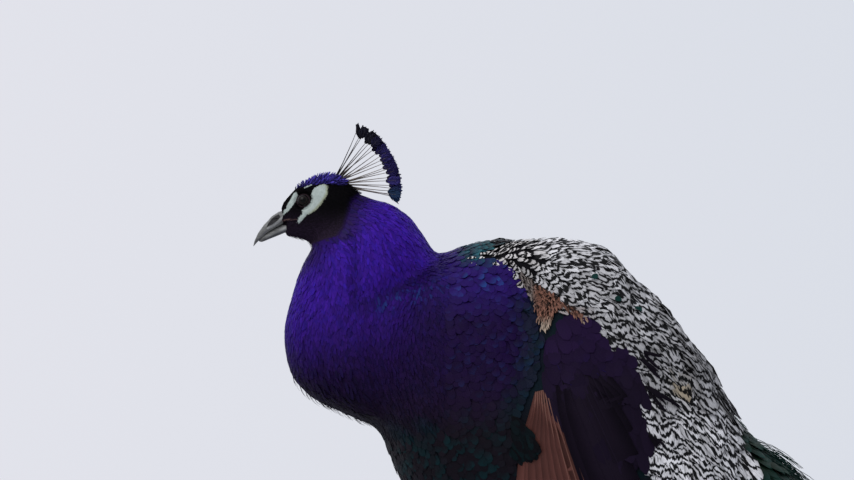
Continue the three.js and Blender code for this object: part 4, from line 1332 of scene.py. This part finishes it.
def dress_train():
    ground = make_train_bed()
    rng = random_for(8)
    plan = TRAIN_FEATHERS
    count, barbs = plan["count"], plan["barbs"]
    order = np.arange(count)
    end = plan["first"] + (plan["last"] - plan["first"]) * ((order + 0.5) / count) ** 0.85
    evenly = 2 * ((order * GOLDEN) % 1) - 1
    turn = np.radians(plan["turn"]) * (evenly + 0.05 * rng.standard_normal(count)).clip(-1, 1)
    end = (end + 0.011 * rng.standard_normal(count)).clip(plan["first"], plan["last"])
    start = np.maximum(end - 0.42, 0.04)
    above = 1.5 + 6 * (1 - end)

    def along_feathers(t):
        """Places at shares t along every feather, the outward directions there and shares of the train."""
        share = start[:, None] + (end - start)[:, None] * t
        lift = above[:, None] - 5 * (1 - t) ** 2 - hidden(share)
        return (*on_train(share, turn[:, None] * (0.55 + 0.45 * t), lift), share)

    t = QUILL["stations"]
    lines, out, _ = along_feathers(t)
    feathered("train_shafts", (down, "train_feathers"), QUILL, lines, out, 0.9 * (1.2 - 0.6 * t), 1.2,
              linear("#8a7f62"), rng, uv=ground.nearest(lines[:, 0])[2])
    along = np.linspace(0.3, 0.97, barbs)
    base, up, base_share = along_feathers(along)
    forward = unit(np.gradient(base, axis=1))
    across = unit(np.cross(up, forward))
    size = (26 + 22 * end)[:, None] * (0.55 + 0.45 * np.sin(np.pi * np.clip(along * 1.05, 0, 1)))[None]
    sides = []
    for side in (-1, 1):
        slant = 0.62 + 0.1 * rng.standard_normal(base.shape[:2])
        reach = size * (1 + 0.15 * rng.standard_normal(base.shape[:2]))
        droop = 1.5 * rng.standard_normal(base.shape[:2])
        way, later = (forward * np.cos(turned)[..., None] + across * (side * np.sin(turned))[..., None]
                      for turned in (slant, slant * 0.45))
        middle = base + way * (reach * 0.5)[..., None]
        tip = middle + later * (reach * 0.5)[..., None] + up * droop[..., None]
        tip[..., 2] = np.maximum(tip[..., 2], 2)
        lines = curves(STRAND, base.reshape(-1, 3), middle.reshape(-1, 3), tip.reshape(-1, 3))
        tints = blend(TRAIN_DARK, bronze_tints(count * barbs, rng), smooth(0.36, 0.7, base_share.ravel()))
        sides.append((lines, tints))
    roots = ground.nearest(base[:, ::5].reshape(-1, 3))[2].reshape(count, -1, 2)
    roots = np.repeat(roots, 5, axis=1)[:, :barbs].reshape(-1, 2)
    for index, (lines, tints) in enumerate(sides):
        feathered(f"train_barbs_{index + 1}", (bronze, "train_feathers"), STRAND, lines, up.reshape(-1, 1, 3),
                  0.8 * STRAND["outline"], 0.6, tints, rng, uv=roots)
    dress_train_sides(ground, rng)
    dress_rump(ground, rng)
    radius = (12 + 9 * end) * rng.uniform(0.82, 1.15, count)
    lift = 3.5 + 6 * (1 - end)
    place, up = on_train(end, turn, lift)
    forward = unit(on_train(np.minimum(end + 0.01, 1), turn, lift)[0] - place)
    first, last = place - forward * radius[:, None], place + forward * (1.15 * radius)[:, None]
    lines = curves(EYESPOT, first, place + up * 1.5, last)
    feathered("train_eyespots", (eyespot_material(), "train_feathers"), EYESPOT, lines, up[:, None],
              (0.9 * radius)[:, None] * EYESPOT["outline"], 0.8, bronze_tints(count, rng), rng)


def dress_train_sides(ground, rng):
    """Barbs that hang over the train's sides."""
    count = TRAIN_FEATHERS["side_barbs"]
    share = rng.uniform(0.16, 0.95, count)
    turn = np.radians(rng.uniform(72, 122, count)) * rng.choice([-1, 1], count)
    first, out = on_train(share, turn, -5.5)
    second, _ = on_train(share + 0.012, turn * 1.03, 1.5)
    third, _ = on_train(share + 0.026, turn * 1.07, rng.uniform(-1, 3, count))
    lines = curves(STRAND, first, second, third)
    lines[..., 2] = np.maximum(lines[..., 2], 2)
    tints = blend(bronze_tints(count, rng) * 0.6, TRAIN_DARK, smooth(0.5, 0.25, share))
    feathered("train_side_barbs", (bronze, "train_feathers"), STRAND, lines, out[:, None],
              1.1 * STRAND["outline"], 0.7, tints, rng, uv=ground.nearest(first)[2])


def dress_rump(ground, rng):
    """The rump's scale-like feathers over the train's start."""
    places = ground.scatter(6.0, ground.centres[:, 0] < 600, rng)
    places = only(places, (places[1][:, 2] > -0.1) & (places[1][:, 0] > -0.6))
    far = smooth(470, 600, places[0][:, 0])
    tints = blend("#10261f", "#2c3818", rng.random(len(far)) * (0.3 + 0.7 * far))
    rims = blend("#173f3a", "#5c5a22", rng.random(len(far)) * far)
    coat("rump_feathers", (scale_plumage, "train_feathers"), ground, places, RUMP_LIE, LEAF, 26 + 16 * far,
         15, 0.5, tints, rng, sink=-1.0, lift=7.5, rise=0.8, spread=0.1, rims=rims, soft=0.85)


def dress_fringe():
    """Loose barbs that arch from the start of the train, behind the barred feathers."""
    rng = random_for(18)
    count = 260
    turn = rng.uniform(-1, 1, count)
    root = np.stack([rng.uniform(478, 508, count), 46 * turn, np.zeros(count)], 1)
    root[:, 2] = np.interp(root[:, 0], (478, 508), (413, 386)) - 10 * turn**2 - rng.uniform(0, 12, count)
    ahead = np.stack([rng.uniform(18, 30, count), 2 * turn, rng.uniform(-3, 8, count)], 1)
    fall = np.stack([rng.uniform(16, 28, count), 3 * turn, rng.uniform(-34, -22, count)], 1)
    lines = curves(LEAF, root, root + ahead, root + ahead + fall)
    tints = blend("#0c2420", "#36514e", rng.random(count) ** 2)
    feathered("train_fringe", (dark_plumage, "train_feathers"), LEAF, lines, np.array([0.4, -0.5, 0.75]),
              0.45 * np.array([1, 1, 0.8, 0.6, 0.3]), 0.45, tints, rng)


TAIL = {"count": 16, "length": 392, "width": 22, "spread": 24, "slope": 37, "root": (452, 262)}


def dress_tail():
    """The short brown tail under the train, its outer feathers a little lower and shorter."""
    rng = random_for(9)
    count = TAIL["count"]
    share = np.linspace(-1, 1, count)
    turn = np.radians(TAIL["spread"] / 2 * share)
    slope = math.radians(TAIL["slope"])
    reach = TAIL["length"] * (1 - 0.08 * share**2)
    way = np.stack([math.cos(slope) * np.cos(turn), np.sin(turn), -math.sin(slope) * np.cos(turn)], 1)
    root = np.stack([np.full(count, TAIL["root"][0]), 34 * share, TAIL["root"][1] - 3 * np.abs(share)], 1)
    up = np.array([math.sin(slope), 0, math.cos(slope)])
    tip = root + way * reach[:, None]
    root, tip = (end + up * (1.5 - 3 * np.abs(share))[:, None] for end in (root, tip))
    lines = curves(QUILL, root, (root + tip) / 2 + up * 4, tip)
    feathered("tail_feathers", (chestnut, "tail_feathers", "tail"), QUILL, lines, up,
              TAIL["width"] * QUILL["outline"], 1.6, linear("#5a4d40"), rng)


# ---- the crest ---------------------------------------------------------------------------------------------
CREST = {"shafts": 22, "vane": 13.5, "barbs": 13, "splay": 5}
CREST_ROOTS = np.array([(83, 670), (87, 669), (92, 665), (95, 661), (97, 656)], float)
CREST_TIPS = np.array([(104, 723), (119, 716), (129, 707), (137, 696), (143, 685), (147, 674), (149, 662),
                       (149, 651), (146, 643)], float)
# How far each vane turns from its shaft, in degrees, from the first shaft to the last.
CREST_SWING = [(0, 26), (0.05, 10), (0.12, 0), (0.8, 0), (0.92, -16), (1, -42)]


def dress_crest():
    """Bare wiry shafts in a fan, each with a small vane of loose barbs over a dark blade."""
    rng = random_for(10)
    count = CREST["shafts"]
    share = np.linspace(0, 1, count)
    jitter = share + 0.006 * rng.standard_normal(count)
    root = spline(CREST_ROOTS, jitter + 0.05 * rng.standard_normal(count))
    root = np.insert(root, 1, 1.6 * rng.standard_normal(count), axis=1)
    tip = np.insert(spline(CREST_TIPS, jitter), 1, 2.5 * rng.standard_normal(count), axis=1)
    way = unit(tip - root)
    root = root - way * 5
    vane = CREST["vane"] * (1 + 0.08 * rng.standard_normal(count))
    out = np.array([0.0, -1.0, 0.0])
    swing = np.radians(along_line(share, CREST_SWING))[:, None]
    way = way * np.cos(swing) + np.cross(out, way) * np.sin(swing)
    splay = CREST["splay"] * np.interp(share, (0, 0.05, 0.14), (0.45, 0.7, 1))
    base = tip - way * vane[:, None]
    bow = np.stack([np.zeros(count), np.zeros(count), 1.2 * rng.standard_normal(count)], 1)
    lines = curves(STRAND, root, (root + base) / 2 + bow, base + way * (0.6 * vane)[:, None])
    grey = blend("#3c353a", "#b5a9a0", smooth(0.0, 0.6, share))
    thin = 0.42 * np.array([2.2, 1.1, 0.85, 0.5])
    feathered("crest_shafts", (down, "crest_feathers", "crest"), STRAND, lines, out, thin, 0.8, grey, rng)
    barbs, tints = [], []
    for i in range(count):
        across = unit(np.cross(out, way[i]))
        shade = blend("#2b2a36", "#40397a", smooth(0.12, 0.45, share[i] + 0.05 * rng.standard_normal()))
        shade = blend(shade * rng.uniform(0.5, 1.4), "#3a5578", smooth(0.75, 0.95, share[i]))
        for j in range(CREST["barbs"]):
            along = (j + 0.4) / CREST["barbs"]
            start = base[i] + way[i] * (vane[i] * 0.7 * along)
            for side in (-1, 1):
                fuller = 0.75 + 0.25 * math.sin(math.pi * along)
                wide = splay[i] * fuller * (1 + 0.12 * rng.standard_normal())
                ahead = vane[i] * (0.3 + 0.05 * rng.standard_normal())
                drift = 0.9 * rng.standard_normal()
                end = start + way[i] * ahead + across * side * wide * (1 - 0.7 * along**2) + out * drift
                barbs.append((start, start + way[i] * 0.3 * ahead + across * side * wide * 0.6, end))
                tints.append(shade * (0.75 + 0.5 * rng.random()))
    tints = np.array(tints)
    lines = curves(LEAF, base - way, base + way * (0.5 * vane)[:, None], tip - way)
    blade = 0.72 * np.array([0.35, 0.95, 1.0, 0.8, 0.3])[None] * splay[:, None]
    feathered("crest_blades", (velvet, "crest_feathers"), LEAF, lines, out, blade, 0.5,
              tints[:: 2 * CREST["barbs"]] * 0.6, rng)
    lines = curves(STRAND, *np.swapaxes(barbs, 0, 1))
    thin = 0.55 * np.array([0.8, 1.0, 1.0, 0.6])
    feathered("crest_vanes", (velvet, "crest_feathers"), STRAND, lines, out, thin, 0.5, tints, rng)


# ---- bill, eyes and legs -----------------------------------------------------------------------------------
def make_bill():
    """The bill's two halves, with nostrils, the dark field round them, the ridge and pale streaks."""
    horn = horn_material("bill_horn", "#131216", "#a5a6a4", 0.45)
    for node in ("bill_upper", "bill_lower"):
        bill = joined_copy(f"{node}_horn", [node], 0.0, voxel=0.45)
        points = coordinates(bill.data)
        normals = vertex_normals(bill.data)
        x, y, z = points.T
        if node == "bill_upper":
            nostril = np.hypot((x - 22) / 4.2, (z - 624.5) / 1.5)
            hollow = smooth(0.4, -1.2, outline_gap(points, NOSTRIL_FIELD))
            groove = -0.8 * smooth(1.2, 0.5, nostril) * smooth(1.5, 3, np.abs(y))
            groove -= 0.7 * hollow * smooth(1, 2.5, np.abs(y))
            ridge = 0.8 * smooth(14, 21, x) * smooth(2, 7, z - np.interp(x, (0, 44), (600, 628)))
            points = points + normals * groove[:, None] + ridge[:, None] * np.array([-0.5, 0, 1])
            dark = smooth(0.5, -0.7, outline_gap(points, NOSTRIL_FIELD))
            light = 0.47 - 0.12 * smooth(12, 2, x) - 0.66 * dark
            light += 0.16 * smooth(2, 0.5, line_gap(points, [(29, 620.5), (18, 614), (10, 607)]))
            light += 0.5 * smooth(1.5, 0.5, line_gap(points, CERE_LINE)) - 0.1 * smooth(1.3, 0.6, nostril)
            light -= 0.1 * smooth(1.4, 0.4, line_gap(points, [(30, 623.4), (20, 617), (12, 610)]))
        else:
            edge = np.interp(x, (5, 8.5, 15, 23, 31, 38), (602, 604, 608, 612, 616, 618))
            raised = (0.2 + 1.8 * smooth(-2.5, 2, z - edge)) * smooth(46, 24, x)
            points = points + np.stack([0 * x, 0 * x, raised], 1)
            streak = beside(points, [(35, 617.5), (24, 613), (14, 608)], 2.2)
            light = 0.14 + 0.14 * smooth(20, 8, x) + (0.3 + 0.5 * smooth(24, 32, x)) * streak
        set_coordinates(bill.data, points)
        unwrap(bill)
        paint(bill, light[:, None])
        finish_piece(bill, horn, "bill_horn", node)


def make_eyes():
    wet_eye = eye_material()
    for side, name in SIDES:
        select()
        centre = to_frame([EYE["x"], side * EYE["y"], EYE["z"]])
        bpy.ops.mesh.primitive_uv_sphere_add(segments=48, ring_count=24, radius=EYE["radius"] * MM,
                                             location=centre)
        eye = bpy.context.object
        bpy.ops.transform.resize(value=(1, 0.92, 1))
        eye.name = f"eyeball_{name}"
        bpy.ops.object.transform_apply(location=True, rotation=True, scale=True)
        points = coordinates(eye.data)
        away = np.hypot(points[:, 0] - EYE["x"], points[:, 2] - EYE["z"]) / EYE["radius"]
        unwrap(eye)
        paint(eye, away[:, None])
        finish_piece(eye, wet_eye, "eye", f"eye_{name}")


SCUTE, TOE_SCUTE = 6.5, 4.5  # the height of a plate on the shank, and its length on a toe
CLAW_LIGHT = 0.35


def make_legs():
    """Shank and foot as one piece with plates in front and on the toes; claws and spurs by themselves."""
    hide = scale_material()
    dark_horn = horn_material("claw_horn", "#17140f", "#5a5046", 0.35)
    for _, name in SIDES:
        leg = joined_copy(f"leg_{name}", [f"shank_{name}", f"foot_{name}"], 0.3, voxel=1.1)
        before = coordinates(leg.data)
        apply_modifier(leg, "SMOOTH", factor=0.5, iterations=60)
        points = blend(before, coordinates(leg.data), smooth(132, 146, before[:, 2]))
        set_coordinates(leg.data, points)
        normals = vertex_normals(leg.data)
        x, y, z = points.T
        front = smooth(0.1, -0.5, normals[:, 0]) * smooth(26, 34, z)
        scutes = 0.45 * np.abs(np.sin(z * math.pi / SCUTE)) * front
        low = smooth(30, 22, z) * smooth(0.1, 0.6, normals[:, 2])
        rings = 0.4 * np.abs(np.sin(x * math.pi / TOE_SCUTE)) * low
        points = points + normals * (scutes + rings - 0.3)[:, None]
        points[:, 2] = np.maximum(points[:, 2], 0)
        set_coordinates(leg.data, points)
        unwrap(leg)
        finish_piece(leg, hide, "leg_scales", f"shank_{name}", f"foot_{name}")
        for part in ("claw_{}_middle", "claw_{}_outer", "claw_{}_inner", "claw_{}_hind", "spur_{}"):
            node = part.format(name)
            horn = joined_copy(f"{node}_horn", [node], 0.0)
            apply_modifier(horn, "SUBSURF", levels=2, render_levels=2)
            unwrap(horn)
            paint(horn, CLAW_LIGHT)
            finish_piece(horn, dark_horn, "claw_horn", node)


for dress in (dress_head, dress_neck, dress_body, dress_barred, dress_coverts, dress_wing_fans,
              dress_flank_lobes, dress_loose_feathers, dress_thighs, dress_train, dress_fringe, dress_tail,
              dress_crest, make_bill, make_eyes, make_legs):
    dress()
